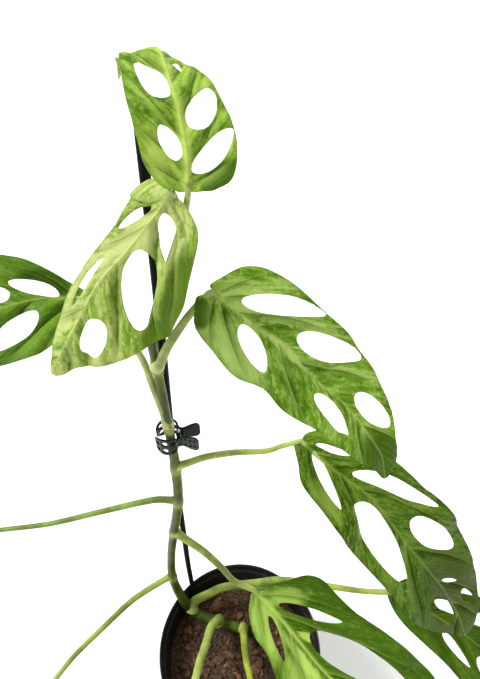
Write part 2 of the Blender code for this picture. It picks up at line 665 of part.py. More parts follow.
def upright(name, radius, low, high, group, sides=16, at=(0.0, 0.0)):
    """An upright round bar between two heights, about the clip's own hinge."""
    bpy.ops.mesh.primitive_cylinder_add(
        vertices=sides, radius=radius * MM, depth=(high - low) * MM,
        location=(at[0] * MM, at[1] * MM, 0.5 * (high + low) * MM))
    made = bpy.context.active_object
    made.name = name
    bpy.ops.object.transform_apply(location=True, rotation=True, scale=True)
    for owner in list(made.users_collection):
        owner.objects.unlink(made)
    group.objects.link(made)
    return made


def build_clip_half(name, group, flip, knuckles):
    """One jaw with its finger wing and hinge knuckles."""
    item = place(name, half_plate(), group)
    scene = bpy.context.scene.collection
    for low, high in knuckles:
        barrel = upright("barrel", CLIP_BARREL_RADIUS, low, high, scene)
        bpy.ops.mesh.primitive_cube_add(size=1.0)
        web = bpy.context.active_object
        web.dimensions = (1.6 * MM, 2.0 * MM, (high - low - 0.2) * MM)
        web.location = (0.4 * MM, -2.1 * MM, 0.5 * (high + low) * MM)
        bpy.ops.object.transform_apply(location=True, rotation=True, scale=True)
        for piece in (barrel, web):
            boolean(item, piece, "UNION")
            bpy.data.objects.remove(piece, do_unlink=True)
    bore = upright("bore", CLIP_PIN_RADIUS + CLIP_PIN_GAP, -20, 20, scene)
    boolean(item, bore, "DIFFERENCE")
    bpy.data.objects.remove(bore, do_unlink=True)
    if flip:
        for vertex in item.data.vertices:
            vertex.co.y *= -1
        clean_mesh(item.data)
    move_to_hinge(item)
    place_finish(item, plain_material(name, (0.03, 0.07, 0.04), 0.35))
    return item


def move_to_hinge(item):
    """Moves a clip piece from its own frame onto the hinge's place."""
    item.location = (CLIP_AXIS[0] * MM, CLIP_AXIS[1] * MM, CLIP_MIDDLE * MM)


def build_pin(group):
    """The clip's hinge pin with a small head at each end."""
    pin = upright("clip_pin", CLIP_PIN_RADIUS, -5.4, 5.4, group)
    scene = bpy.context.scene.collection
    for low, high in ((-5.9, -5.1), (5.1, 5.9)):
        head = upright("head", 1.2, low, high, scene)
        boolean(pin, head, "UNION")
        bpy.data.objects.remove(head, do_unlink=True)
    move_to_hinge(pin)
    place_finish(pin, plain_material("clip_pin", (0.35, 0.35, 0.36), 0.3))
    return pin


def build_spring(group):
    """The coil spring round the pin between the middle knuckles."""
    turns, wire, coil = 2.5, 0.2, 1.15
    run = []
    for i in range(26):
        angle = 2 * math.pi * turns * i / 25
        run.append((coil * math.cos(angle), coil * math.sin(angle), -0.7 + 1.4 * i / 25, wire))
    spring = place("clip_spring", tube_mesh(run, "clip_spring"), group)
    move_to_hinge(spring)
    place_finish(spring, plain_material("clip_spring", (0.5, 0.5, 0.52), 0.3))
    return spring


def main():
    """Builds every piece of the plant and its pot."""
    group, cutters = start_scene()
    place("stem", tube_mesh(stem_points(0.0), "stem"), group,
          plain_material("stem", (0.25, 0.42, 0.10), 0.5))
    place("stake", tube_mesh(stake_points(0.0), "stake"), group,
          plain_material("stake", (0.01, 0.01, 0.011), 0.4))
    stem_cutter = place("stem_cutter", tube_mesh(stem_points(GAP), "stem_cutter"), cutters)
    stake_cutter = place("stake_cutter", tube_mesh(stake_points(2 * GAP), "stake_cutter"), cutters)
    for cutter in (stem_cutter, stake_cutter):
        cutter.hide_render = True
        cutter.display_type = "WIRE"
    build_pot(group)
    build_soil(group, stem_cutter, stake_cutter)
    for name, leaf in LEAVES.items():
        build_leaf(name, leaf, group, stem_cutter)
    build_clip_half("clip_front", group, False, [(-4.8, -3.2), (3.2, 4.8)])
    build_clip_half("clip_back", group, True, [(-2.9, -1.2), (1.2, 2.9)])
    build_pin(group)
    build_spring(group)


main()
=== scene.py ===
"""The dressed model of a windowed climbing plant on its stake in a nursery pot."""
import math
import random
from bisect import bisect_left

import bmesh
import bpy
from mathutils import Matrix, Vector, noise


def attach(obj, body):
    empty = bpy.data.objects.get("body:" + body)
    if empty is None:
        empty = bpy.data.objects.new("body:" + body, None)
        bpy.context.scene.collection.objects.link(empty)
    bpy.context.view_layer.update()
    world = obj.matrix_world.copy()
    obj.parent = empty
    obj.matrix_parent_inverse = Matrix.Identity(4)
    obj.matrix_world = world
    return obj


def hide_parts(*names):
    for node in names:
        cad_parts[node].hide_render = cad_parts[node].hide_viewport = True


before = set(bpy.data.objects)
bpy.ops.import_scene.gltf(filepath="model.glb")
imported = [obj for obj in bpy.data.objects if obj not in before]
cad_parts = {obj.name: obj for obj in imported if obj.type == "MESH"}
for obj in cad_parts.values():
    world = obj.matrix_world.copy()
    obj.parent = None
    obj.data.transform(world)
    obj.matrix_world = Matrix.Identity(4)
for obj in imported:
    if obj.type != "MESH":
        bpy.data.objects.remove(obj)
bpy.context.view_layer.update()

MM = 0.001

# Pot and soil, in millimetres, as in the solids
POT_HEIGHT = 112.0
POT_TOP_RADIUS = 63.4
POT_BASE_RADIUS = 50.0
POT_WALL = 1.2
RIM_RADIUS = 65.0
RIM_HEIGHT = 9.0
SOIL_TOP = 84.0
DRAIN_COUNT = 6
DRAIN_RING_RADIUS = 29.0
DRAIN_RADIUS = 4.0
CHIP_COUNT = 620
CHIP_SIZES = (1.2, 1.6, 2.0, 2.6, 3.6, 4.6)

# Stake and stem points, the stem's with their radius
STAKE_RADIUS = 2.0
STAKE = [
    (-34.0, 35.6, 26.0), (-36.6, 38.2, 56.0), (-39.0, 40.9, 86.0), (-40.2, 42.6, 103.0),
    (-41.2, 44.2, 112.0), (-41.9, 46.6, 160.0), (-41.0, 47.3, 215.0), (-39.8, 47.5, 281.0),
    (-37.4, 47.7, 350.0), (-35.4, 47.8, 400.0), (-33.0, 47.9, 450.0), (-30.7, 48.0, 512.5),
]

STEM = [
    (9.0, 16.5, 62.0, 4.3), (7.5, 17.0, 78.0, 4.4), (3.0, 18.5, 88.0, 4.4), (-4.0, 19.8, 91.0, 4.4),
    (-20.0, 23.2, 93.5, 4.3), (-42.0, 31.0, 99.0, 4.2), (-51.0, 36.0, 125.0, 3.8),
    (-54.5, 39.5, 155.0, 3.3), (-51.5, 41.0, 195.0, 3.0), (-45.6, 40.5, 236.0, 3.1),
    (-38.9, 41.2, 279.0, 3.0), (-37.0, 42.2, 318.0, 2.9), (-36.9, 41.8, 359.0, 2.4),
    (-37.3, 42.0, 405.0, 2.2), (-36.5, 39.5, 426.0, 2.2), (-31.0, 39.5, 447.0, 1.9),
    (-25.5, 40.5, 462.0, 1.7),
]
# A cut side shoot at the stem's foot, and the brown scars as (x, y, z, size, turn)
STEM_STUB = [(9.0, 17.2, 83.0, 2.6), (12.0, 16.6, 89.0, 2.4), (14.0, 16.2, 93.0, 2.3)]
STEM_SCARS = [(-35.2, 38.9, 362.0, 1.1, 20), (-34.9, 40.2, 403.0, 1.0, 0), (-39.4, 40.6, 402.0, 0.9, 60),
              (-52.0, 37.0, 152.0, 1.3, 10)]
NODE_SWELL = 0.6
NODE_RING = 0.28
STEM_NODES = (155.0, 236.0, 279.0, 318.0, 359.0, 405.0)
STEM_SIDES = 20
PETIOLE_SIDES = 14

# Clip: its bend is seen along the pin, and its edges and holes lie on the flat plate
CLIP_HINGE = (-32.8, 44.4, 345.8)
CLIP_PLATE = 1.0
CLIP_PIN_RADIUS = 0.6
CLIP_BORE_RADIUS = 0.85
CLIP_BARREL_RADIUS = 1.45
SPRING_RADIUS = 1.15
SPRING_WIRE_RADIUS = 0.2
SPRING_TURNS = 2.5
SPRING_LENGTH = 1.4
CLIP_BEND = [(11.2, -5.2), (6.5, -4.0), (2.4, -2.9), (-0.1, -3.6), (-1.7, -5.8), (-4.6, -6.9), (-8.6, -6.3),
             (-11.4, -3.8), (-12.3, -0.9)]
WING_EDGE = [(0.2, 3.4), (1.6, 5.3), (3.6, 5.5), (5.6, 5.1), (8.4, 4.2), (12.0, 3.6)]
JAW_EDGE = [(14.0, 5.2), (17.0, 6.4), (21.5, 6.6), (24.8, 5.4), (27.4, 3.2)]
JAW_HOLES = [(15.4, 2.9, 3.0, 3.6, 0), (19.6, 3.1, 3.4, 4.0, 0), (23.9, 2.7, 3.2, 3.4, 0)]

# Leaves: the blade's flesh, its mesh and its relief
BLADE_THICKNESS = 0.6
GRID_STEP = 1.1
VEIN_CURVE = 0.012
QUILT_HEIGHT = 1.7
QUILT_REACH = 5.0
CREASE_DEPTH = 2.0
CREASE_STEEP = 1.3
CREASE_GENTLE = 3.4
EDGE_ROLL = 0.9
WINDOW_ROLL = 0.7
TIP_FADE = 9.0

# Colours that the leaves share, and the stem's
DULL_GREEN = (0.20, 0.30, 0.06)
RIB_CREAM = (0.58, 0.70, 0.16)
GREY_PATCH = (0.055, 0.085, 0.006)
PETIOLE_PALE = (0.54, 0.62, 0.22)
STEM_GREEN = (0.085, 0.125, 0.012)
STEM_PALE = (0.29, 0.37, 0.09)

# Patches of a leaf: kind, colour, strength, the marks it starts and is full at, and its fray; some dark ones
# are painted shade and some pale and cream ones painted sheen
PATCH_KINDS = (("pale", "Pale", 0.85, 0.25, 0.9, 1.0), ("cream", "Rib", 0.85, 0.35, 0.85, 1.0),
               ("grey", "Grey", 0.9, 0.15, 0.8, 1.0), ("dark", "Shade", 0.95, 0.36, 0.66, 0.5))

# Peat and bark from their hollows to their lightest fibres
PEAT = ((0.018, 0.011, 0.007), (0.13, 0.075, 0.048), (0.3, 0.16, 0.09))
BARK = ((0.03, 0.016, 0.010), (0.17, 0.090, 0.055), (0.46, 0.22, 0.10))

# Camera and light
CAMERA_PLACE = (0.0, -0.105, 0.569)
CAMERA_TILT = 45.0
PICTURE_HEIGHT = 679.0
FOCAL_LENGTH = 490.0
SENSOR_HEIGHT = 36.0
SUN_WAY = (0.60, -0.05, -0.80)
SUN_SPREAD = 16.0
SUN_POWER = 3.5
ROOM_LIGHT = 0.36
FLOOR_GLOW = 0.25
LAMP_TARGET = (0.0, 0.0, 0.25)
LAMPS = (("fill", (1.3, -0.6, 0.9), 1.2, 5.0), ("back", (0.4, 1.2, 1.5), 0.9, 6.0))

# The blade of the four leaves that the photo shows only the petioles of
PLAIN_BLADE = dict(
    lift=(8, 8), ripple=1.0,
    right=[(-4, 6), (-5, 14), (4, 22), (20, 27), (42, 28), (66, 25), (88, 18), (106, 9)],
    left=[(107, -8), (90, -17), (68, -24), (44, -28), (22, -27), (5, -22), (-4, -14), (-4, -6)],
    windows=[(27, 13, 30, 9, 28), (54, 13, 30, 9, 20), (80, 9, 22, 7, 12),
             (24, -12, 26, 8, -32), (50, -14, 32, 10, -22), (78, -9, 24, 7, -12)])

# Each leaf as in the solids: its petiole and midrib in space, the petiole's radius at
# both ends, the way its face looks at base and tip, how far each half is lifted in
# degrees and rippled, its flat edges as (along, across), and its windows as (along,
# across, length, breadth, turn). Then the colours of its stalk and blade, how marbled
# it is, its rib's width and strength, and its patches as windows with a kind.
LEAVES = {
    "leaf_top": dict(
        petiole=[(-26, 40.4, 460), (-22.5, 40.5, 471), (-18, 37.5, 485), (-16, 33, 494)],
        thick=(1.5, 0.9),
        midrib=[(-16, 33, 495), (-16, 39, 505), (-19, 49, 516), (-23, 61, 523), (-27, 73, 524),
                (-34.5, 83.5, 520.5), (-41.5, 92, 516), (-45.5, 98, 508)],
        face=((0.15, -1, 0.3), (0.125, -0.8, 0.65), (0.6, -0.3, 1)),
        lift=(8, 8), ripple=0.5, fold=(16, -90),
        right=[(0, 3), (1, 9), (5, 14), (14, 15.5), (26, 13.5), (34, 12), (42, 9.5), (48, 6.5), (54, 4),
               (60, 2.5), (76, 2)],
        left=[(84, -2.5), (74, -5), (64, -8), (54, -12), (41, -13.8), (31, -14.5), (16, -14), (8, -13),
              (2, -9), (0, -3)],
        windows=[(37, -5.3, 18, 8, -15), (15, -4.6, 12, 6, -17), (24, 7, 15, 9, 31), (11, 8.2, 17, 6.5, 53),
                 (43.5, 4, 4.5, 3.4, 0)],
        stalk=(0.34, 0.42, 0.1),
        green=(0.27, 0.44, 0.045), deep=(0.06, 0.16, 0.004), pale=(0.47, 0.64, 0.11), marbling=0.7,
        # the dark patch at (4, 11) is painted shade where the lobe turns away from the light
        rib=(1.5, 0.85), patches=[(4, 11, 16, 9, 60, "dark"), (12, -9, 20, 6, 0, "pale")]),
    "leaf_pale": dict(
        petiole=[(-28.5, 39.5, 455), (-25, 36, 464), (-20, 35.5, 480), (-20, 34, 491), (-21, 33, 495)],
        thick=(1.4, 0.9),
        midrib=[(-21, 33, 495), (-27, 27, 489), (-36, 24, 479), (-47, 23, 467), (-60, 20, 447),
                (-73, 21, 426)],
        face=((0, -1, 0.8), (0.1, -1, 0.5)),
        lift=(-48, 5), ripple=2.4,
        right=[(-2.6, 5.5), (-2.5, 11.5), (1.5, 18.5), (7, 19.5), (19, 17.5), (28, 16), (38, 13.5),
               (48, 13), (56, 13.5), (66, 12), (80, 8)],
        left=[(89, -4), (80, -8), (72, -14), (62, -20), (50, -25), (38, -29), (26, -26), (15, -20),
              (6, -14), (1, -6)],
        windows=[(16.5, 9.8, 22, 5.5, 24), (12, -7.2, 16, 6.4, -46), (33, -11.5, 31, 13, -32),
                 (47, 7.3, 24, 4.5, 3), (62, -7.5, 20, 10, -5)],
        stalk=(0.4, 0.48, 0.14),
        green=(0.31, 0.44, 0.07), deep=(0.11, 0.22, 0.01), pale=(0.53, 0.59, 0.21), marbling=0.9,
        rib=(1.1, 0.45),
        patches=[(20, 3, 46, 18, 10, "pale"), (24, -24, 34, 14, -30, "dark"), (40, -26, 26, 12, 0, "dark"),
                 (50, 9, 60, 12, 0, "pale")]),
    "leaf_far_left": dict(
        petiole=[(-36.9, 41.8, 360), (-37.9, 42, 369), (-38.9, 41.8, 378),
                 (-41.7, 44.3, 390), (-45.2, 48.5, 403), (-54.6, 55, 417), (-68, 60, 430)],
        thick=(2.3, 1.3),
        midrib=[(-68, 60, 430), (-86, 58, 431), (-103, 53, 430), (-129, 48, 425), (-162, 47, 409)],
        face=((-0.2, -0.6, 1), (-0.2, -0.6, 1)),
        lift=(5, 5), ripple=0.8,
        right=[(1, 4), (8, 8), (16, 14), (24, 21), (32, 25), (45, 28), (58, 26), (74, 19), (90, 8)],
        left=[(91, -7), (76, -16), (62, -22), (48, -25), (34, -26), (22, -25), (11, -20), (3, -11), (0, -4)],
        windows=[(21, 6.5, 22, 6, 27), (42, 9, 24, 9, 20), (64, 10, 18, 7, 15), (32, -12, 26, 12, -27),
                 (60, -11, 20, 8, -18), (79, -4, 13, 5, -8)],
        # painted light: this petiole is lighter than the others to make up for the shade that leaf_pale casts
        # on it
        stalk=(0.52, 0.6, 0.2),
        green=(0.12, 0.245, 0.017), deep=(0.045, 0.11, 0.003), pale=(0.22, 0.36, 0.04), marbling=0.4,
        rib=(0.9, 0.4), patches=[(16, 8, 24, 10, 30, "dark")]),
    "leaf_right": dict(
        petiole=[(-37.3, 42, 405), (-34.6, 37, 412), (-30, 36.8, 423), (-22, 38.5, 436), (-15, 40.3, 445),
                 (-11, 41, 449)],
        thick=(2.5, 1.2),
        midrib=[(-11, 41, 449), (2, 34, 442), (17, 29, 431), (31, 25, 416), (45, 22, 402),
                (62, 14, 380), (66, 9, 367)],
        face=((0, -0.7, 0.8), (0.3, -0.6, 0.8)),
        lift=(6, 6), ripple=0.9,
        right=[(-3, 5), (-1, 9), (4, 15), (14, 18), (26, 21), (40, 18), (52, 19), (66, 17), (84, 15),
               (102, 11), (116, 4)],
        left=[(118, -5), (104, -11), (88, -17), (70, -21), (56, -23), (40, -22), (26, -22), (12, -20),
              (4, -15), (0, -7), (-2, -2)],
        windows=[(26, -13, 34, 8.5, -30), (53, -13, 35, 11, -23), (88, -8, 25, 9.5, -9),
                 (26, 8, 21, 8, 26), (73, 7, 28, 7.5, 7)],
        stalk=(0.32, 0.4, 0.11),
        green=(0.20, 0.39, 0.022), deep=(0.08, 0.18, 0.003), pale=(0.54, 0.74, 0.18), marbling=0.75,
        rib=(1.0, 0.4),
        # the dark patch at (2, 9) on the base lobe is a painted shadow
        # the pale patches at (20, 13) and (44, -15) are painted sheen
        patches=[(2, 9, 13, 9, 50, "dark"), (20, 13, 44, 20, 20, "pale"), (16, -6, 40, 14, -20, "pale"),
                 (44, -15, 30, 10, -25, "pale"), (36, 0, 34, 4, 0, "pale"), (112, 0, 34, 22, 0, "dark")]),
    "leaf_lower_right": dict(
        petiole=[(-37, 42.2, 319), (-31.4, 42, 322), (-19, 46, 323), (-3.5, 50, 321), (15, 52.3, 319),
                 (24, 54.8, 320), (36, 58, 321)],
        thick=(2.3, 1.4),
        midrib=[(36, 58, 321), (55, 43, 314), (77, 31, 302), (92, 21, 285), (109, 11, 264),
                (128, 3, 239), (142, -4, 216), (151, -12, 196)],
        face=((0.1, -0.5, 1), (0.1, -0.6, 1)),
        lift=(5, 5), ripple=1.4,
        right=[(-2, 4), (7, 11), (16, 19), (30, 23), (44, 28), (58, 30), (76, 29), (94, 28), (112, 28),
               (130, 29), (154, 24), (176, 13)],
        left=[(186, -9), (174, -17), (158, -22), (138, -28), (119, -33), (102, -34), (86, -33), (70, -29),
              (54, -26), (38, -25), (22, -22), (8, -16), (0, -6)],
        windows=[(24, 8, 35, 6.5, 30), (77, 12, 62, 18, 7), (19, -9.5, 24, 4.5, -22), (62, -17, 60, 9, -25),
                 (102, -16, 43, 16, -16), (154, 8.5, 40, 14, -9), (141, -7, 12, 5, -31),
                 (164, -11.5, 18, 7, -14)],
        stalk=(0.46, 0.6, 0.14),
        green=(0.116, 0.223, 0.012), deep=(0.026, 0.07, 0.001), pale=(0.28, 0.42, 0.06), marbling=0.65,
        rib=(1.0, 0.35), patches=[(152, 0, 80, 50, 0, "grey"), (30, 18, 30, 10, 20, "pale")]),
    "leaf_left": dict(
        petiole=[(-38.9, 41.2, 279), (-44.5, 41.4, 280), (-57, 42, 278), (-91, 40.7, 265),
                 (-126, 38.3, 253), (-160, 37.8, 245), (-172, 37, 243)],
        thick=(2.4, 1.4),
        midrib=[(-172, 37, 243), (-195, 30, 236), (-225, 20, 217), (-249, 10, 193), (-264, 3, 170)],
        face=((-0.2, -0.4, 1), (-0.5, -0.4, 1)),
        **PLAIN_BLADE,
        stalk=(0.25, 0.36, 0.06),
        green=(0.13, 0.26, 0.02), deep=(0.05, 0.12, 0.005), pale=(0.3, 0.45, 0.09), marbling=0.5,
        rib=(1.1, 0.5), patches=[(30, 14, 34, 12, 20, "pale")]),
    "leaf_over_pot": dict(
        petiole=[(-45.6, 40.5, 237), (-40, 37, 236), (-25.4, 30.4, 228), (-13.3, 24.5, 215),
                 (-4.2, 19.4, 203), (10, 16, 195)],
        thick=(2.9, 1.8),
        midrib=[(10, 16, 195), (25, 3, 189), (37, -9, 184), (53, -25, 175), (74, -43, 164),
                (101, -67, 140), (125, -91, 103)],
        face=((0.1, -0.3, 1), (0.2, -0.2, 1)),
        lift=(6, 6), ripple=1.2,
        right=[(2, 6), (8, 14), (20, 21), (34, 22), (48, 27), (62, 34), (80, 38), (102, 38), (130, 32),
               (152, 26), (174, 13)],
        left=[(182, -16), (170, -34), (152, -49), (132, -55), (112, -53), (90, -49), (68, -44), (46, -41),
              (30, -40), (21, -34), (14, -22), (7, -12), (1, -5)],
        windows=[(38, -18, 46, 7, -34), (86, -22, 84, 21, -19), (147, -22, 30, 13, -28),
                 (32, 10.5, 29, 6, 23), (105, 17, 38, 12, 12), (144, 12, 28, 9, 2)],
        stalk=(0.34, 0.45, 0.08),
        green=(0.062, 0.138, 0.004), deep=(0.035, 0.09, 0.001), pale=(0.38, 0.56, 0.10), marbling=0.22,
        rib=(1.4, 0.75),
        # the cream patch at (52, 6) by the midrib is a painted sheen
        patches=[(20, 10, 56, 26, 20, "pale"), (52, 6, 40, 8, 4, "cream"), (46, -6, 16, 6, -25, "cream"),
                 (74, 18, 70, 26, 10, "pale"), (20, -12, 30, 12, -40, "pale"), (110, 34, 60, 16, 0, "pale")]),
    "leaf_low_left": dict(
        petiole=[(-54.5, 39.5, 156), (-61, 36, 156), (-83, 20.7, 158), (-102, -1.7, 165),
                 (-116, -18, 168), (-126, -32, 168), (-138, -47, 165)],
        thick=(2.6, 1.5),
        midrib=[(-138, -47, 165), (-152, -66, 158), (-170, -91, 139), (-183, -112, 115), (-190, -125, 93)],
        face=((-0.3, -0.2, 1), (-0.5, -0.6, 0.8)),
        **PLAIN_BLADE,
        stalk=(0.34, 0.45, 0.09),
        green=(0.15, 0.29, 0.025), deep=(0.06, 0.13, 0.006), pale=(0.34, 0.5, 0.11), marbling=0.6,
        rib=(1.1, 0.5), patches=[(60, -14, 34, 12, -20, "pale")]),
    "leaf_low_right": dict(
        petiole=[(-42, 31, 100), (-39.5, 35, 107), (-27, 39, 114), (-13, 42.3, 121), (14, 42, 132),
                 (37, 41.5, 140), (74, 33, 150), (95, 28, 156), (116, 25, 162)],
        thick=(4.2, 1.8),
        midrib=[(116, 25, 162), (143, 12, 160), (177, -5, 146), (220, -30, 118), (260, -59, 78)],
        face=((0.2, -0.3, 1), (0.3, -0.3, 1)),
        lift=(5, 5), ripple=1.2,
        right=[(0, 4), (8, 12), (18, 18), (32, 22), (50, 26), (70, 30), (92, 33), (122, 35), (152, 29),
               (178, 14)],
        left=[(184, -12), (172, -25), (142, -40), (108, -42), (78, -37), (56, -28), (40, -22), (26, -19),
              (11, -16), (3, -8)],
        windows=[(46, -11.5, 28, 8, -10), (76, -20, 34, 10, -26), (110, -22, 34, 13, -20),
                 (146, -16, 28, 10, -18), (58, 13, 30, 8, 18), (93, 12, 36, 13, 10), (133, 15, 32, 10, 8)],
        stalk=(0.43, 0.54, 0.1),
        green=(0.065, 0.14, 0.005), deep=(0.025, 0.07, 0.001), pale=(0.14, 0.23, 0.015), marbling=0.5,
        rib=(1.0, 0.4), patches=[(30, 6, 40, 16, 10, "grey")]),
    "leaf_front_left": dict(
        petiole=[(-19, 23, 94), (-18, 22.4, 103), (-24, 14, 112), (-27.4, -1.3, 122), (-30.6, -13.8, 130),
                 (-32.5, -25.4, 137), (-36, -45, 146), (-39, -65, 152), (-42, -82, 154)],
        thick=(3.9, 2.2),
        midrib=[(-42, -82, 154), (-46, -105, 150), (-54, -134, 134), (-62, -158, 111), (-66, -171, 90)],
        face=((-0.2, 0, 1), (-0.3, -0.7, 0.7)),
        **PLAIN_BLADE,
        stalk=(0.46, 0.57, 0.12),
        green=(0.15, 0.28, 0.025), deep=(0.06, 0.13, 0.006), pale=(0.36, 0.52, 0.12), marbling=0.65,
        rib=(1.1, 0.5), patches=[(40, 16, 40, 14, 24, "pale")]),
    "leaf_front_right": dict(
        petiole=[(2, 19, 90), (3, 14, 97), (4.1, -0.5, 103), (5.6, -11.5, 109), (7.8, -21.3, 115),
                 (11, -42, 124), (14, -62, 131), (16, -80, 134)],
        thick=(3.4, 1.9),
        midrib=[(16, -80, 134), (20, -103, 131), (27, -131, 117), (33, -155, 95), (36, -168, 74)],
        face=((0.2, 0, 1), (0.3, -0.7, 0.7)),
        **PLAIN_BLADE,
        stalk=(0.38, 0.48, 0.06),
        green=(0.14, 0.27, 0.022), deep=(0.055, 0.125, 0.005), pale=(0.32, 0.48, 0.1), marbling=0.55,
        rib=(1.1, 0.5), patches=[(64, 10, 34, 12, 14, "pale")]),
}


# Helpers for shapes

def curve_between(points, steps, closed=False):
    """Catmull-Rom points through the given ones, of any number of coordinates."""
    count = len(points)
    size = len(points[0])

    def at(i):
        if closed:
            return points[i % count]
        if i < 0:
            return [2 * points[0][k] - points[1][k] for k in range(size)]
        if i >= count:
            return [2 * points[-1][k] - points[-2][k] for k in range(size)]
        return points[i]

    made = []
    for i in range(count if closed else count - 1):
        p0, p1, p2, p3 = at(i - 1), at(i), at(i + 1), at(i + 2)
        for j in range(steps):
            t = j / steps
            made.append(tuple(
                0.5 * (2 * p1[k] + (p2[k] - p0[k]) * t
                       + (2 * p0[k] - 5 * p1[k] + 4 * p2[k] - p3[k]) * t * t
                       + (3 * p1[k] - p0[k] - 3 * p2[k] + p3[k]) * t ** 3)
                for k in range(size)))
    if not closed:
        made.append(tuple(points[-1]))
    return made


def lengths_along(path):
    """The length of a path up to each of its points."""
    reach = [0.0]
    for first, second in zip(path, path[1:]):
        reach.append(reach[-1] + (second - first).length)
    return reach


def spot_on(path, reach, along):
    """The place at a length along a path."""
    i = max(bisect_left(reach, along), 1)
    part = (along - reach[i - 1]) / (reach[i] - reach[i - 1])
    return path[i - 1].lerp(path[i], part)


def piece_of(work, name, materials, smooth=40):
    """Makes a shown object of a finished bmesh."""
    mesh = bpy.data.meshes.new(name)
    work.to_mesh(mesh)
    work.free()
    for material in materials:
        mesh.materials.append(material)
    mesh.shade_smooth()
    if smooth:
        mesh.set_sharp_from_angle(angle=math.radians(smooth))
    item = bpy.data.objects.new(name, mesh)
    bpy.context.scene.collection.objects.link(item)
    return item


def dress(item, node, body="root"):
    """Puts a finished piece in its solid's place, on that solid's body."""
    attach(item, body)
    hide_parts(node)


def evaluated_mesh(item):
    """A copy of the object's mesh with its modifiers on."""
    bpy.context.view_layer.update()
    graph = bpy.context.evaluated_depsgraph_get()
    return bpy.data.meshes.new_from_object(item.evaluated_get(graph))


def thickened(work, thickness, skins=0, rounding=0.0):
    """The mesh of a sheet that is given its thickness to both sides, and its edges rounded.

    With skins, the side that its faces look to keeps material 0 and the other gets 1.
    """
    mesh = bpy.data.meshes.new("sheet")
    work.to_mesh(mesh)
    work.free()
    for _ in range(skins):
        mesh.materials.append(None)
    item = bpy.data.objects.new("sheet", mesh)
    bpy.context.scene.collection.objects.link(item)
    thick = item.modifiers.new("thickness", "SOLIDIFY")
    thick.thickness = thickness * MM
    thick.offset = 0.0
    thick.material_offset = 1 if skins else 0
    if rounding:
        rounded = item.modifiers.new("rounding", "BEVEL")
        rounded.width = rounding * MM
        rounded.segments = 2
        rounded.limit_method = "ANGLE"
        rounded.angle_limit = math.radians(50)
    solid = evaluated_mesh(item)
    bpy.data.objects.remove(item, do_unlink=True)
    return solid


def tube(work, points, sides, material=0):
    """Adds a closed round tube through (x, y, z, radius) points in millimetres.

    A ring is made at the start and pushed out ring by ring.
    """
    places = [Vector(p[:3]) for p in points]
    side = None
    ring = None
    for i, place in enumerate(places):
        ahead = (places[min(i + 1, len(places) - 1)] - places[max(i - 1, 0)]).normalized()
        if side is None:
            side = ahead.cross(Vector((0.3, 0.2, 1.0))).normalized()
        side = (side - ahead * side.dot(ahead)).normalized()
        over = ahead.cross(side)
        radius = points[i][3]
        turn = Matrix((side, over, ahead)).transposed().to_4x4()
        ring_place = Matrix.Translation(place * MM) @ turn
        if ring is None:
            made = bmesh.ops.create_circle(work, cap_ends=True, segments=sides, radius=1.0)
            ring = made["verts"]
            for face in {f for v in ring for f in v.link_faces}:
                face.material_index = material
            unit = [v.co.copy() for v in ring]
            edges = list({e for v in ring for e in v.link_edges})
        else:
            made = bmesh.ops.extrude_edge_only(work, edges=edges)
            fresh = [g for g in made["geom"] if isinstance(g, bmesh.types.BMVert)]
            edges = [g for g in made["geom"] if isinstance(g, bmesh.types.BMEdge)
                     and all(v in set(fresh) for v in g.verts)]
            for face in (g for g in made["geom"] if isinstance(g, bmesh.types.BMFace)):
                face.material_index = material
            ordered = []
            for old in ring:
                ends = (edge.other_vert(old) for edge in old.link_edges)
                ordered.append(next(end for end in ends if end in fresh))
            ring = ordered
        for vertex, spot in zip(ring, unit):
            vertex.co = ring_place @ Vector((spot.x * radius * MM, spot.y * radius * MM, 0.0))
    cap = bmesh.ops.contextual_create(work, geom=edges)
    for face in cap["faces"]:
        face.material_index = material


def turned(profile, steps):
    """A bmesh turned about the Z axis from a (radius, height) profile in millimetres."""
    work = bmesh.new()
    line = [work.verts.new((r * MM, 0.0, z * MM)) for r, z in profile]
    edges = [work.edges.new(pair) for pair in zip(line, line[1:])]
    bmesh.ops.spin(work, geom=line + edges, cent=(0, 0, 0), axis=(0, 0, 1), dvec=(0, 0, 0),
                   angle=2 * math.pi, steps=steps, use_merge=True, use_duplicate=False)
    bmesh.ops.remove_doubles(work, verts=work.verts, dist=1e-7)
    bmesh.ops.recalc_face_normals(work, faces=work.faces)
    return work


def egg(along, across, length, breadth, turn, count):
    """A window's outline: round at its inner end, and a long one is drawn out at its outer end."""
    made = []
    taper = min(max(0.15 * (length / breadth - 2.0), 0.05), 0.3)
    angle = math.radians(turn)
    for i in range(count):
        t = 2 * math.pi * i / count
        u = 0.5 * length * math.cos(t)
        drawn = 1 - taper * (0.5 + 0.5 * math.cos(t)) ** 3
        v = 0.505 * breadth * math.sin(t) * (1 - 0.06 * math.cos(t)) * drawn
        made.append((along + u * math.cos(angle) - v * math.sin(angle),
                     across + u * math.sin(angle) + v * math.cos(angle)))
    return made


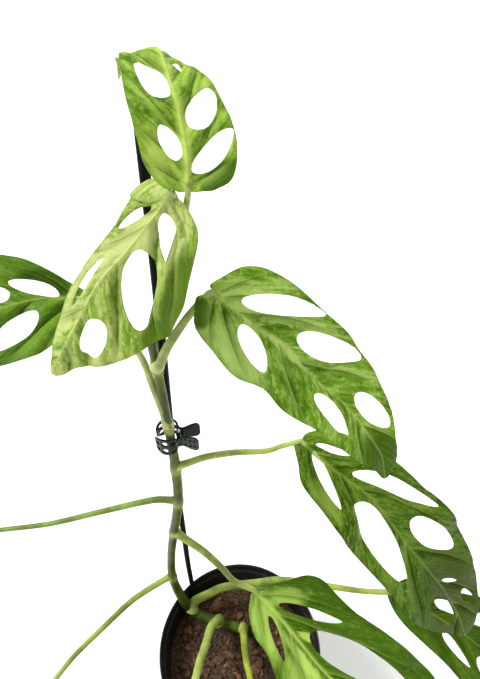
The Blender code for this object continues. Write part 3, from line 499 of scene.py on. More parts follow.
def flat_sheet(outlines, along_cuts, across_cuts):
    """A bmesh of a flat filled outline with holes, cut along a grid of triangles."""
    data = bpy.data.curves.new("outline", "CURVE")
    data.dimensions = "2D"
    data.fill_mode = "BOTH"
    for points in outlines:
        spline = data.splines.new("POLY")
        spline.points.add(len(points) - 1)
        spline.use_cyclic_u = True
        for point, (x, y) in zip(spline.points, points):
            point.co = (x, y, 0.0, 1.0)
    item = bpy.data.objects.new("outline", data)
    bpy.context.scene.collection.objects.link(item)
    mesh = evaluated_mesh(item)
    bpy.data.objects.remove(item, do_unlink=True)
    work = bmesh.new()
    work.from_mesh(mesh)
    bmesh.ops.remove_doubles(work, verts=work.verts, dist=1e-4)
    for place, normal in ([((x, 0, 0), (1, 0, 0)) for x in along_cuts]
                          + [((0, y, 0), (0, 1, 0)) for y in across_cuts]):
        every = work.verts[:] + work.edges[:] + work.faces[:]
        cut = bmesh.ops.bisect_plane(work, geom=every, plane_co=place, plane_no=normal, dist=0.02)
        for part in cut["geom_cut"]:
            if isinstance(part, bmesh.types.BMEdge):
                part.seam = True
    bmesh.ops.dissolve_limit(work, angle_limit=0.01, use_dissolve_boundaries=False,
                             verts=work.verts, edges=work.edges, delimit={"SEAM"})
    bmesh.ops.triangulate(work, faces=work.faces, quad_method="BEAUTY", ngon_method="BEAUTY")
    bmesh.ops.recalc_face_normals(work, faces=work.faces)
    if sum(face.normal.z for face in work.faces) < 0:
        bmesh.ops.reverse_faces(work, faces=work.faces)
    for edge in work.edges:
        edge.seam = False
    return work


# Helpers for materials

class Graph:
    """Adds nodes to a material or group tree with their values and links."""

    def __init__(self, tree):
        self.tree = tree

    def add(self, kind, inputs=None, **settings):
        node = self.tree.nodes.new(kind)
        for key, value in settings.items():
            setattr(node, key, value)
        for key, value in (inputs or {}).items():
            if isinstance(value, bpy.types.NodeSocket):
                self.tree.links.new(value, node.inputs[key])
            else:
                node.inputs[key].default_value = value
        return node

    def attribute(self, name):
        return self.add("ShaderNodeAttribute", attribute_name=name).outputs["Fac"]

    def math(self, operation, first, second=0.5, third=0.5):
        return self.add("ShaderNodeMath", {0: first, 1: second, 2: third}, operation=operation).outputs[0]

    def product(self, *values):
        result = values[0]
        for value in values[1:]:
            result = self.math("MULTIPLY", result, value)
        return result

    def mix(self, factor, first, second):
        return self.add("ShaderNodeMix", {0: factor, 6: first, 7: second}, data_type="RGBA").outputs[2]

    def range(self, value, low, high, to_low=0.0, to_high=1.0):
        inputs = {"Value": value, "From Min": low, "From Max": high, "To Min": to_low, "To Max": to_high}
        return self.add("ShaderNodeMapRange", inputs, interpolation_type="SMOOTHSTEP").outputs["Result"]

    def noise(self, vector, scale, detail=3.0, roughness=0.55, distortion=0.0):
        inputs = {"Vector": vector, "Scale": scale, "Detail": detail, "Roughness": roughness,
                  "Distortion": distortion}
        return self.add("ShaderNodeTexNoise", inputs).outputs["Fac"]

    def mapped(self, vector, scale):
        return self.add("ShaderNodeMapping", {"Vector": vector, "Scale": scale}).outputs["Vector"]

    def body(self):
        return self.add("ShaderNodeTexCoord").outputs["Object"]


def group_of(name, inputs, outputs):
    """A new shader group with named sockets, its graph, and its two ends."""
    tree = bpy.data.node_groups.new(name, "ShaderNodeTree")
    kinds = {"colour": "NodeSocketColor", "value": "NodeSocketFloat"}
    for label, kind, value in inputs:
        socket = tree.interface.new_socket(label, in_out="INPUT", socket_type=kinds[kind])
        socket.default_value = value
    for label, kind in outputs:
        tree.interface.new_socket(label, in_out="OUTPUT", socket_type=kinds[kind])
    graph = Graph(tree)
    return tree, graph, graph.add("NodeGroupInput").outputs, graph.add("NodeGroupOutput").inputs


def new_material(name, **sockets):
    """A Principled material, its graph and its shader."""
    material = bpy.data.materials.new(name)
    material.use_nodes = True
    shader = material.node_tree.nodes["Principled BSDF"]
    for key, value in sockets.items():
        shader.inputs[key.replace("_", " ").title().replace("Ior", "IOR")].default_value = value
    return material, Graph(material.node_tree), shader


def feed(graph, shader, colour, height, depth, strength, rough=None):
    """Feeds a colour, a relief of a depth in metres and a roughness into the shader."""
    bump = graph.add("ShaderNodeBump", {"Height": height, "Distance": depth, "Strength": strength})
    graph.tree.links.new(colour, shader.inputs["Base Color"])
    graph.tree.links.new(bump.outputs["Normal"], shader.inputs["Normal"])
    if rough:
        graph.tree.links.new(rough, shader.inputs["Roughness"])


def colour4(colour, gain=1.0):
    """A socket's colour value, made lighter or darker."""
    return (colour[0] * gain, colour[1] * gain, colour[2] * gain, 1.0)


def blade_tone(g, flow, body, marbling):
    """Light and dark over a blade, and its mottle, grain and clouds."""
    sectors = g.noise(g.mapped(flow, (9.0, 3.4, 1.0)), 1.0, 2.0, 0.5, 0.6)
    mottle = g.noise(g.mapped(flow, (34.0, 24.0, 1.0)), 1.0, 4.0, 0.62, 0.5)
    fine = g.noise(body, 900.0, 3.0, 0.65, 0.3)
    clouds = g.noise(body, 45.0, 3.0, 0.6, 0.4)
    tone = g.math("MULTIPLY_ADD", mottle, 0.34, g.product(sectors, 0.40))
    tone = g.math("MULTIPLY_ADD", clouds, 0.14, tone)
    tone = g.math("MULTIPLY_ADD", fine, 0.12, tone)
    contrast = g.math("MULTIPLY_ADD", marbling, 1.7, 0.8)
    tone = g.math("MULTIPLY_ADD", g.math("SUBTRACT", tone, 0.5), contrast, 0.5)
    return tone, mottle, fine, clouds


def marbled(g, tone, mottle, body, given):
    """The blade's greens with pale marbling, pale flecks and dark specks."""
    colour = g.mix(g.range(tone, 0.30, 0.56), given["Deep"], given["Green"])
    marble = g.product(g.range(tone, 0.50, 0.72), given["Marbling"])
    colour = g.mix(marble, colour, given["Pale"])
    grain = g.noise(body, 520.0, 3.0, 0.7, 0.4)
    grain = g.math("MULTIPLY_ADD", grain, 0.6, g.product(mottle, 0.4))
    fleck = g.product(g.range(grain, 0.52, 0.64), given["Marbling"], 0.75)
    colour = g.mix(fleck, colour, given["Pale"])
    speck = g.product(g.range(grain, 0.38, 0.49, 1.0, 0.0), given["Marbling"], 0.6)
    return g.mix(speck, colour, given["Deep"])


def patched(g, colour, tone, given):
    """The blade's ragged patches over its colour, among them painted shade and painted sheen."""
    ragged = g.product(g.math("SUBTRACT", tone, 0.5), 1.3)
    for kind, label, strength, low, high, fray in PATCH_KINDS:
        marked = g.attribute(kind)
        uneven = g.product(ragged, g.range(marked, 0.0, 0.4))
        amount = g.range(g.math("MULTIPLY_ADD", uneven, fray, marked), low, high)
        colour = g.mix(g.product(amount, strength), colour, given[label])
    return colour


def painted_vein_shade(g, colour, offset, inner, given):
    """Paints a highlight on the bank at the base side of each side vein and shade in its crease and on its
    wall towards the tip; returns the colour and the vein's groove for the relief.
    """
    away = g.math("ABSOLUTE", offset, 0.0)
    shaded_wall = g.product(g.range(offset, 0.0, 0.05), g.range(offset, 0.05, 0.35, 1.0, 0.0))
    painted_bank_highlight = g.product(g.range(offset, -0.05, -0.02, 1.0, 0.0), g.range(offset, -0.4, -0.05))
    # painted highlight: the bank on the base side of the vein is made paler as if lit
    colour = g.mix(g.product(painted_bank_highlight, inner, 0.35), colour, given["Pale"])
    crease = g.math("MAXIMUM", g.range(away, 0.015, 0.06, 1.0, 0.0), g.product(shaded_wall, 0.6))
    # painted shade: the crease and the wall towards the tip are made darker as if in shadow
    colour = g.mix(g.product(crease, inner, 0.6), colour, given["Shade"])
    return colour, g.product(g.range(away, 0.0, 0.10, 1.0, 0.0), inner)


def leaf_pattern_group():
    """The leaf's colour, roughness and relief from its veins, marbling and patches, with painted highlight
    and painted shade at the side veins.

    The flow map runs across and along the side veins in decimetres. The veins map holds
    how far the nearest side vein is, in centimetres, and the share of the way out to
    the leaf's edge.
    """
    tree, g, given, out = group_of(
        "leaf_pattern",
        [("Green", "colour", (0.2, 0.4, 0.05, 1)), ("Deep", "colour", (0.1, 0.2, 0.02, 1)),
         ("Pale", "colour", (0.4, 0.6, 0.15, 1)), ("Rib", "colour", (0.6, 0.7, 0.3, 1)),
         ("Grey", "colour", (0.2, 0.26, 0.16, 1)), ("Shade", "colour", (0.06, 0.12, 0.01, 1)),
         ("Marbling", "value", 0.5), ("Gloss", "value", 0.4), ("Rib Strength", "value", 0.6)],
        [("Colour", "colour"), ("Roughness", "value"), ("Height", "value")])
    flow = g.add("ShaderNodeUVMap", uv_map="flow").outputs["UV"]
    veins = g.add("ShaderNodeUVMap", uv_map="veins").outputs["UV"]
    near = g.add("ShaderNodeSeparateXYZ", {"Vector": veins}).outputs
    offset, share = near["X"], near["Y"]
    body = g.body()
    tone, mottle, fine, clouds = blade_tone(g, flow, body, given["Marbling"])
    colour = marbled(g, tone, mottle, body, given)
    colour = patched(g, colour, tone, given)
    inner = g.product(g.range(share, 0.55, 1.0, 1.0, 0.0), g.range(g.attribute("room"), 0.2, 1.6))
    # painted highlight and painted shade at each side vein
    colour, groove = painted_vein_shade(g, colour, offset, inner, given)
    small = g.math("COSINE", g.math("MULTIPLY_ADD", offset, 26.0, g.product(mottle, 6.0)))
    small = g.range(small, 0.7, 1.0)
    colour = g.mix(g.product(small, 0.08), colour, given["Rib"])
    colour = g.mix(g.product(g.attribute("midrib"), given["Rib Strength"]), colour, given["Rib"])
    colour = g.mix(g.product(g.attribute("edge"), 0.45), colour, given["Deep"])
    g.tree.links.new(colour, out["Colour"])
    rough = g.math("MULTIPLY_ADD", g.math("SUBTRACT", fine, 0.5), 0.16, given["Gloss"])
    rough = g.math("MULTIPLY_ADD", g.math("SUBTRACT", clouds, 0.5), 0.3, rough)
    g.tree.links.new(rough, out["Roughness"])
    height = g.math("MULTIPLY_ADD", small, -0.2, g.product(fine, 0.25))
    height = g.math("MULTIPLY_ADD", mottle, 0.7, height)
    height = g.math("MULTIPLY_ADD", groove, -0.9, height)
    g.tree.links.new(height, out["Height"])
    return tree


def leaf_materials(name, leaf, group):
    """The upper face, the duller underside and the petiole of one leaf."""
    rib = tuple(0.6 * pale + 0.4 * cream for pale, cream in zip(leaf["pale"], RIB_CREAM))
    dull = tuple(0.6 * green + 0.4 * grey for green, grey in zip(leaf["green"], DULL_GREEN))
    made = []
    for side, green, lighten, gloss in (("upper", leaf["green"], 1.0, 0.42), ("under", dull, 1.15, 0.6)):
        material, g, shader = new_material(name + "_" + side, specular_ior_level=0.06)
        pattern = g.add("ShaderNodeGroup", node_tree=group)
        values = {"Green": colour4(green, lighten), "Deep": colour4(leaf["deep"], lighten),
                  "Pale": colour4(leaf["pale"]), "Rib": colour4(rib), "Grey": colour4(GREY_PATCH),
                  "Shade": colour4(leaf["deep"], 0.65), "Marbling": leaf["marbling"], "Gloss": gloss,
                  "Rib Strength": leaf["rib"][1]}
        for label, value in values.items():
            pattern.inputs[label].default_value = value
        feed(g, shader, pattern.outputs["Colour"], pattern.outputs["Height"], 0.0006, 0.6,
             pattern.outputs["Roughness"])
        made.append(material)
    made.append(stalk_material(name + "_petiole", leaf["stalk"], PETIOLE_PALE))
    return made


def stalk_material(name, green, pale):
    """A petiole's or stem's skin: long fine streaks, and paler where it is swollen."""
    material, g, shader = new_material(name, specular_ior_level=0.2, roughness=0.45)
    body = g.body()
    blotch = g.noise(body, 60.0, 4.0, 0.6)
    fleck = g.noise(g.mapped(body, (1.0, 1.0, 0.35)), 700.0, 3.0, 0.7)
    colour = g.mix(g.range(blotch, 0.35, 0.65), colour4(green, 0.5), colour4(green))
    colour = g.mix(g.range(fleck, 0.56, 0.78, 0.0, 0.45), colour, colour4(pale))
    colour = g.mix(g.product(g.attribute("swollen"), 0.75), colour, colour4(pale))
    height = g.math("MULTIPLY_ADD", fleck, 0.4, blotch)
    rough = g.math("MULTIPLY_ADD", blotch, 0.25, 0.3)
    feed(g, shader, colour, height, 0.0005, 0.35, rough)
    return material


# Leaves

class Blade:
    """The curved surface that a leaf's flat outline is laid on."""

    def __init__(self, leaf, seed):
        self.path = [Vector(p) for p in curve_between(leaf["midrib"], 24)]
        self.reach = lengths_along(self.path)
        self.length = self.reach[-1]
        self.faces = [Vector(v).normalized() for v in leaf["face"]]
        self.lift = [math.radians(v) for v in leaf["lift"]]
        self.fold_start, turn = leaf.get("fold", (0, 0))
        self.fold = math.radians(turn)
        self.ripple = leaf["ripple"]
        self.half = max(abs(p[1]) for p in leaf["right"] + leaf["left"])
        self.seed = seed
        self.windows = [(window, math.cos(math.radians(window[4])), math.sin(math.radians(window[4])))
                        for window in leaf["windows"]]
        self.widths = {1: self.half_widths(leaf["right"], 1), -1: self.half_widths(leaf["left"], -1)}
        self.veins = {side: self.side_veins(leaf, side) for side in (1, -1)}

    def half_widths(self, edge, side):
        """The half blade's width at each millimetre along the midrib."""
        points = [(x, y * side) for x, y in curve_between(edge, 4)]
        return [max(min(points, key=lambda p: abs(p[0] - along))[1], 2.0)
                for along in range(-10, int(self.length) + 12)]

    def side_veins(self, leaf, side):
        """(start along the midrib, slope) of each side vein, one between windows."""
        roots = []
        for along, across, length, breadth, turn in leaf["windows"]:
            if across * side > 0 and length > 10:
                angle = max(abs(turn), 24)
                roots.append((along - abs(across) / math.tan(math.radians(angle)), angle))
        roots.sort()
        made = [(2.0, 68.0), (max(roots[0][0] - 5.0, 4.0), min(roots[0][1] + 16, 54))]
        for first, second in zip(roots, roots[1:]):
            made.append((0.5 * (first[0] + second[0]), 0.5 * (first[1] + second[1]) + 5))
        gap = (roots[-1][0] - roots[0][0]) / max(len(roots) - 1, 1)
        last = roots[-1][0] + max(gap * 0.6, 9.0)
        while last < self.length * 0.92:
            made.append((last, 30.0))
            last += max(gap * 0.8, 12.0)
        return [(start, math.radians(angle)) for start, angle in made]

    def middle(self, along):
        """A place on the midrib, or straight on past its ends."""
        if along <= 0:
            start = (self.path[3] - self.path[0]).normalized()
            return self.path[0] + start * along
        if along >= self.length:
            end = (self.path[-1] - self.path[-4]).normalized()
            return self.path[-1] + end * (along - self.length)
        return spot_on(self.path, self.reach, along)

    def ways(self, along):
        """The midrib's direction, the way across, and the way out of the face."""
        ahead = (self.middle(along + 1.5) - self.middle(along - 1.5)).normalized()
        step = min(max(along / self.length, 0.0), 1.0) * (len(self.faces) - 1)
        low = min(int(step), len(self.faces) - 2)
        across = ahead.cross(self.faces[low].lerp(self.faces[low + 1], step - low)).normalized()
        return ahead, across, across.cross(ahead)

    def vein_offset(self, vein, along, across):
        """How far a point lies past a side vein towards the tip, in millimetres."""
        start, slope = vein
        reach = abs(across)
        return (along - start - reach / math.tan(slope) - VEIN_CURVE * reach * reach) * math.sin(slope)

    def nearest_vein(self, along, across):
        """The side vein nearest to a point."""
        return min(self.veins[1 if across > 0 else -1],
                   key=lambda vein: abs(self.vein_offset(vein, along, across)))

    def room(self, along, across):
        """How far a point lies from midway between two side veins, in millimetres."""
        veins = self.veins[1 if across > 0 else -1]
        gaps = sorted(abs(self.vein_offset(vein, along, across)) for vein in veins)
        return 0.5 * (gaps[1] - gaps[0])

    def share(self, along, across):
        """The share of the way from the midrib out to the leaf's edge."""
        widths = self.widths[1 if across > 0 else -1]
        return min(abs(across) / widths[min(max(int(along) + 10, 0), len(widths) - 1)], 1.0)

    def window_near(self, along, across):
        """How close a point is to a window's edge: 1 on it, 0 from a third of it away."""
        close = 0.0
        for (a, b, length, breadth, _), cos, sin in self.windows:
            u = ((along - a) * cos + (across - b) * sin) / (0.5 * length)
            v = (-(along - a) * sin + (across - b) * cos) / (0.5 * breadth)
            close = max(close, 1.0 - (math.hypot(u, v) - 1.0) / 0.35)
        return min(max(close, 0.0), 1.0)

    def relief(self, along, across):
        """The height of the blade's quilting, creases and rolled edges, in millimetres."""
        share = self.share(along, across)
        inner = min(abs(across) / 4.0, 1.0)
        valley = 0.0
        puffed = 1.0
        for vein in self.veins[1 if across > 0 else -1]:
            offset = self.vein_offset(vein, along, across)
            valley = max(valley, math.exp(-(offset / (CREASE_STEEP if offset > 0 else CREASE_GENTLE)) ** 2))
            puffed *= 1.0 - math.exp(-(offset / QUILT_REACH) ** 2)
        crease = -CREASE_DEPTH * valley * inner * (1.0 - share ** 3)
        quilt = QUILT_HEIGHT * puffed * inner * (1.0 - 0.5 * share * share)
        rolled = -EDGE_ROLL * share ** 5 - WINDOW_ROLL * self.window_near(along, across) ** 2
        groove = -0.8 * math.exp(-(across / 1.7) ** 2) + 0.75 * math.exp(-(across / 0.6) ** 2)
        spot = Vector((along * 0.05, across * 0.07, self.seed * 7.3))
        drift = 0.9 * noise.noise(spot) + 0.25 * noise.noise(spot * 4.0)
        ending = min(max((self.length - along) / TIP_FADE, 0.0), 1.0)
        return (crease + quilt + rolled + groove + drift) * ending

    def at(self, along, across):
        """The place of an (along, across) point, in millimetres."""
        _, side, out = self.ways(along)
        right = across > 0
        past = max(along - self.fold_start, 0.0) / (self.length - self.fold_start)
        lift = self.lift[0] + self.fold * min(past, 1.0) if right else self.lift[1]
        wave = self.ripple * (across / self.half) ** 2 * math.sin(along / 7.0 + (1.3 if right else 0.0))
        rise = abs(across) * math.sin(lift) + wave + self.relief(along, across)
        return self.middle(along) + side * across * math.cos(lift) + out * (rise - 0.3)


def patch_amount(patches, kind, along, across):
    """How strongly a point lies in the patches of one kind, from 0 to 1."""
    most = 0.0
    for a, b, length, breadth, turn, named in patches:
        if named != kind:
            continue
        angle = math.radians(turn)
        u = ((along - a) * math.cos(angle) + (across - b) * math.sin(angle)) / (0.5 * length)
        v = (-(along - a) * math.sin(angle) + (across - b) * math.cos(angle)) / (0.5 * breadth)
        most = max(most, 1.2 - math.hypot(u, v) * 0.75)
    return min(max(most, 0.0), 1.0)


def mark_blade(work, leaf, blade):
    """Gives the flat blade its maps and its midrib, edge, room and patch values."""
    kinds = [kind[0] for kind in PATCH_KINDS]
    names = kinds + ["midrib", "edge", "swollen", "room"]
    layers = {name: work.verts.layers.float.new(name) for name in names}
    for vertex in work.verts:
        along, across = vertex.co.x, vertex.co.y
        width = leaf["rib"][0] * (1.0 - 0.7 * min(max(along / blade.length, 0.0), 1.0))
        vertex[layers["midrib"]] = math.exp(-(across / width) ** 2)
        vertex[layers["edge"]] = blade.share(along, across) ** 16
        vertex[layers["room"]] = min(blade.room(along, across), 10.0)
        for kind in kinds:
            vertex[layers[kind]] = patch_amount(leaf["patches"], kind, along, across)
    flow = work.loops.layers.uv.new("flow")
    veins = work.loops.layers.uv.new("veins")
    for face in work.faces:
        centre = face.calc_center_median()
        vein = blade.nearest_vein(centre.x, centre.y)
        for loop in face.loops:
            along, across = loop.vert.co.x, loop.vert.co.y
            shear = along - abs(across) * 1.2
            loop[flow].uv = (shear / 100.0 + (0.0 if centre.y > 0 else 3.0), abs(across) / 100.0)
            loop[veins].uv = (blade.vein_offset(vein, along, across) / 10.0, blade.share(along, across))


def leaf_blade(leaf, blade):
    """The thin closed blade with windows, its veins and colour patches, as a mesh."""
    tip = [(blade.length + 1.5, 0.0)]
    edge = curve_between([(0.0, 0.0)] + leaf["right"] + tip + leaf["left"], 9, closed=True)
    outlines = [edge] + [egg(*window, 40) for window in leaf["windows"]]
    count = int(blade.length / GRID_STEP)
    along_cuts = [blade.length * k / count for k in range(-3, count)]
    rows = int(blade.half / GRID_STEP)
    across_cuts = [GRID_STEP * k for k in range(-rows, rows + 1)] + [-0.45, 0.45]
    work = flat_sheet(outlines, along_cuts, across_cuts)
    mark_blade(work, leaf, blade)
    for vertex in work.verts:
        vertex.co = blade.at(vertex.co.x, vertex.co.y) * MM
    bmesh.ops.reverse_faces(work, faces=work.faces)
    return thickened(work, BLADE_THICKNESS, skins=3)


def petiole_points(leaf, blade):
    """The petiole, swollen at both ends, and the midrib that it runs on into."""
    start, end = leaf["thick"]
    last = len(leaf["petiole"]) - 1
    run = [(*place, start + (end - start) * i / last) for i, place in enumerate(leaf["petiole"])]
    smooth = curve_between(run, 8)
    count = len(smooth) - 1
    made = []
    for i, (x, y, z, radius) in enumerate(smooth):
        knee = math.exp(-((count - i) / 5.0) ** 2)
        foot = math.exp(-(i / 5.0) ** 2)
        made.append((x, y, z, radius * (1 + 0.14 * knee + 0.4 * foot), max(0.35 * knee, 0.9 * foot)))
    steps = 40
    for k in range(1, steps + 1):
        along = blade.length * 0.97 * k / steps
        _, _, out = blade.ways(along)
        radius = end * (0.95 - 0.80 * (k / steps) ** 0.6)
        sunk = min(along / 5.0, 1.0) * (0.35 + radius * 0.95)
        place = blade.at(along, 0.01) - out * sunk
        made.append((place.x, place.y, place.z, radius, 0.15))
    return made


def build_leaf(index, name, leaf, group):
    """One finished leaf in place of its CAD solid."""
    blade = Blade(leaf, index + 1)
    materials = leaf_materials(name, leaf, group)
    work = bmesh.new()
    work.from_mesh(leaf_blade(leaf, blade))
    swollen = work.verts.layers.float["swollen"]
    before = len(work.verts)
    points = petiole_points(leaf, blade)
    tube(work, points, PETIOLE_SIDES, material=2)
    work.verts.ensure_lookup_table()
    for i, vertex in enumerate(work.verts[before:]):
        vertex[swollen] = points[i // PETIOLE_SIDES][4]
    dress(piece_of(work, name + "_fine", materials, smooth=55), name)


# Stem and stake

def build_stem():
    """The climbing stem with ringed nodes, brown scars and one cut stub."""
    skin = stalk_material("stem_skin", STEM_GREEN, STEM_PALE)
    scar, g, shader = new_material("stem_scar", roughness=0.8)
    spots = g.noise(g.body(), 900.0, 3.0, 0.7)
    feed(g, shader, g.mix(spots, (0.20, 0.10, 0.03, 1), (0.46, 0.24, 0.06, 1)), spots, 0.0004, 0.6)
    work = bmesh.new()
    swollen = work.verts.layers.float.new("swollen")
    points = []
    for x, y, z, radius in curve_between(STEM, 14):
        swell = sum(math.exp(-((z - node) / 4.0) ** 2) for node in STEM_NODES)
        ring = sum(math.exp(-((z - node + 2.5) / 0.9) ** 2) for node in STEM_NODES)
        points.append((x, y, z, radius + NODE_SWELL * swell + NODE_RING * ring, min(swell + ring, 1.0)))
    tube(work, points, STEM_SIDES)
    work.verts.ensure_lookup_table()
    for i, vertex in enumerate(work.verts):
        vertex[swollen] = points[i // STEM_SIDES][4]
        wobble = noise.noise(vertex.co * 260.0)
        vertex.co.x += 0.00012 * wobble
    tube(work, curve_between(STEM_STUB, 4), PETIOLE_SIDES)
    for x, y, z, size, turn in STEM_SCARS:
        place = Matrix.Translation(Vector((x, y, z)) * MM) @ Matrix.Rotation(math.radians(turn), 4, "Y")
        stretch = Matrix.Diagonal((0.8, 0.6, 1.4, 1.0))
        made = bmesh.ops.create_icosphere(work, subdivisions=2, radius=size * MM, matrix=place @ stretch)
        for vertex in made["verts"]:
            vertex.co += vertex.normal * 0.2 * MM * noise.noise(vertex.co * 1500.0)
            for face in vertex.link_faces:
                face.material_index = 1
    dress(piece_of(work, "stem_fine", [skin, scar], smooth=60), "stem")


def build_stake():
    """The coated stake with its rounded top."""
    material, g, shader = new_material("stake_coating", roughness=0.5, specular_ior_level=0.05)
    pits = g.noise(g.mapped(g.body(), (1.0, 1.0, 0.15)), 1200.0, 4.0, 0.6)
    colour = g.mix(pits, (0.003, 0.003, 0.003, 1), (0.009, 0.009, 0.009, 1))
    feed(g, shader, colour, pits, 0.0004, 0.3, g.math("MULTIPLY_ADD", pits, 0.3, 0.35))
    points = [(*p, STAKE_RADIUS) for p in curve_between(STAKE, 10)]
    x, y, z, _ = points[-1]
    points.append((x, y, z + 0.6, STAKE_RADIUS * 0.8))
    points.append((x, y, z + 1.0, STAKE_RADIUS * 0.4))
    work = bmesh.new()
    tube(work, points, 28)
    dress(piece_of(work, "stake_fine", [material]), "stake")


# Pot and soil

def wall_radius(height, outside=True):
    """The pot wall's radius at a height."""
    slope = (POT_TOP_RADIUS - POT_BASE_RADIUS) / POT_HEIGHT
    return POT_BASE_RADIUS + slope * height - (0.0 if outside else POT_WALL)


def black_plastic(name, dusty):
    """Black moulded plastic with a faint orange-peel and dust."""
    material, g, shader = new_material(name, roughness=0.4, specular_ior_level=0.3)
    body = g.body()
    grain = g.noise(body, 800.0, 3.0, 0.6)
    smear = g.noise(g.mapped(body, (1.0, 1.0, 0.25)), 30.0, 5.0, 0.65, 0.5)
    colour = g.mix(smear, (0.008, 0.008, 0.009, 1), (0.020, 0.020, 0.021, 1))
    dust = g.range(smear, 0.52, 0.75, 0.0, dusty)
    colour = g.mix(dust, colour, (0.10, 0.06, 0.035, 1))
    height = g.math("MULTIPLY_ADD", grain, 0.3, smear)
    feed(g, shader, colour, height, 0.0005, 0.25, g.math("MULTIPLY_ADD", smear, 0.35, 0.2))
    return material


def build_pot():
    """The nursery pot: rolled and banded rim, stepped foot and drained floor."""
    band = POT_HEIGHT - RIM_HEIGHT
    profile = [(0.0, POT_WALL), (30.0, POT_WALL), (wall_radius(3.0, False) - 2.0, POT_WALL),
               (wall_radius(3.0, False), POT_WALL + 2.2)]
    profile += [(wall_radius(z, False), z) for z in range(8, int(band), 8)]
    profile += [(wall_radius(band, False), band), (RIM_RADIUS - 2.3, band + 1.6),
                (RIM_RADIUS - 1.9, POT_HEIGHT - 1.6), (RIM_RADIUS - 1.5, POT_HEIGHT - 0.6),
                (RIM_RADIUS - 1.0, POT_HEIGHT - 0.1), (RIM_RADIUS - 0.6, POT_HEIGHT),
                (RIM_RADIUS - 0.15, POT_HEIGHT - 0.4), (RIM_RADIUS, POT_HEIGHT - 1.2),
                (RIM_RADIUS - 0.25, POT_HEIGHT - 5.0), (RIM_RADIUS - 0.5, band + 0.3),
                (RIM_RADIUS - 0.9, band), (wall_radius(band) + 0.1, band - 0.2),
                (wall_radius(band), band - 1.0)]
    profile += [(wall_radius(z), z) for z in range(int(band) - 8, 20, -8)]
    profile += [(wall_radius(14.0), 14.0), (wall_radius(13.0) - 0.5, 13.0), (wall_radius(4.0) - 0.5, 4.0),
                (wall_radius(1.5) - 0.5, 1.5), (POT_BASE_RADIUS - 1.0, 0.3), (POT_BASE_RADIUS - 1.8, 0.0),
                (30.0, 0.0), (0.0, 0.0)]
    pot = piece_of(turned(profile, 144), "pot_fine", [black_plastic("pot_plastic", 0.25)], smooth=32)
    drills = bmesh.new()
    for i in range(DRAIN_COUNT):
        angle = 2 * math.pi * (i + 0.5) / DRAIN_COUNT
        spot = Vector((DRAIN_RING_RADIUS * math.cos(angle), DRAIN_RING_RADIUS * math.sin(angle), 0.5))
        bmesh.ops.create_cone(drills, cap_ends=True, segments=32, radius1=DRAIN_RADIUS * MM,
                              radius2=DRAIN_RADIUS * MM, depth=8 * MM, matrix=Matrix.Translation(spot * MM))
    cutter = piece_of(drills, "drain_cutter", [], smooth=0)
    drains = pot.modifiers.new("drains", "BOOLEAN")
    drains.operation = "DIFFERENCE"
    drains.solver = "EXACT"
    drains.object = cutter
    mesh = evaluated_mesh(pot)
    pot.modifiers.clear()
    pot.data = mesh
    bpy.data.objects.remove(cutter, do_unlink=True)
    mesh.shade_smooth()
    mesh.set_sharp_from_angle(angle=math.radians(32))
    dress(pot, "pot")


def soil_material(name, low, mid, high):
    """Peat and bark in browns, with each chip's own tint."""
    material, g, shader = new_material(name, roughness=0.92, specular_ior_level=0.25)
    body = g.body()
    crumb = g.noise(body, 420.0, 6.0, 0.75)
    fibre = g.noise(g.mapped(body, (1.0, 0.35, 1.0)), 900.0, 4.0, 0.7, 0.6)
    colour = g.mix(g.range(crumb, 0.35, 0.65), colour4(low), colour4(mid))
    colour = g.mix(g.product(g.attribute("tint"), g.range(fibre, 0.3, 0.7)), colour, colour4(high))
    feed(g, shader, colour, g.math("MULTIPLY_ADD", fibre, 0.6, crumb), 0.0012, 0.9)
    return material


def soil_level(x, y):
    """The soil's loose relief, in millimetres above its level."""
    wide = noise.noise(Vector((x * 0.05, y * 0.05, 2.0))) * 1.8
    small = noise.noise(Vector((x * 0.25, y * 0.25, 5.0))) * 0.9
    return SOIL_TOP + wide + small - 0.6


def build_soil():
    """The crumbly soil surface and the bark chips on it."""
    top = wall_radius(SOIL_TOP, False) - 0.25
    floor = POT_WALL + 0.3
    profile = [(top * i / 40, SOIL_TOP) for i in range(41)]
    profile += [(wall_radius(40.0, False) - 0.4, 40.0), (wall_radius(2.0, False) - 2.4, floor), (0.0, floor)]
    work = turned(profile, 120)
    for vertex in work.verts:
        x, y, z = vertex.co / MM
        if z > SOIL_TOP - 1:
            edge = 1 - (math.hypot(x, y) / top) ** 10
            vertex.co.z = (SOIL_TOP + (soil_level(x, y) - SOIL_TOP) * max(edge, 0.0)) * MM
    dress(piece_of(work, "soil_fine", [soil_material("soil_peat", *PEAT)], smooth=60), "soil")
    chips = build_chips(top)
    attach(chips, "root")


def clear_of_stems(x, y, room):
    """True where a chip wouldn't sit in the stem or the stake."""
    stake_x, stake_y, _ = STAKE[2]
    if math.hypot(x - stake_x, y - stake_y) < room + 3.0:
        return False
    for stem_x, stem_y, stem_z, radius in curve_between(STEM[1:7], 3):
        if math.hypot(x - stem_x, y - stem_y) < room * 0.6 + radius and stem_z < SOIL_TOP + 12:
            return False
    return True


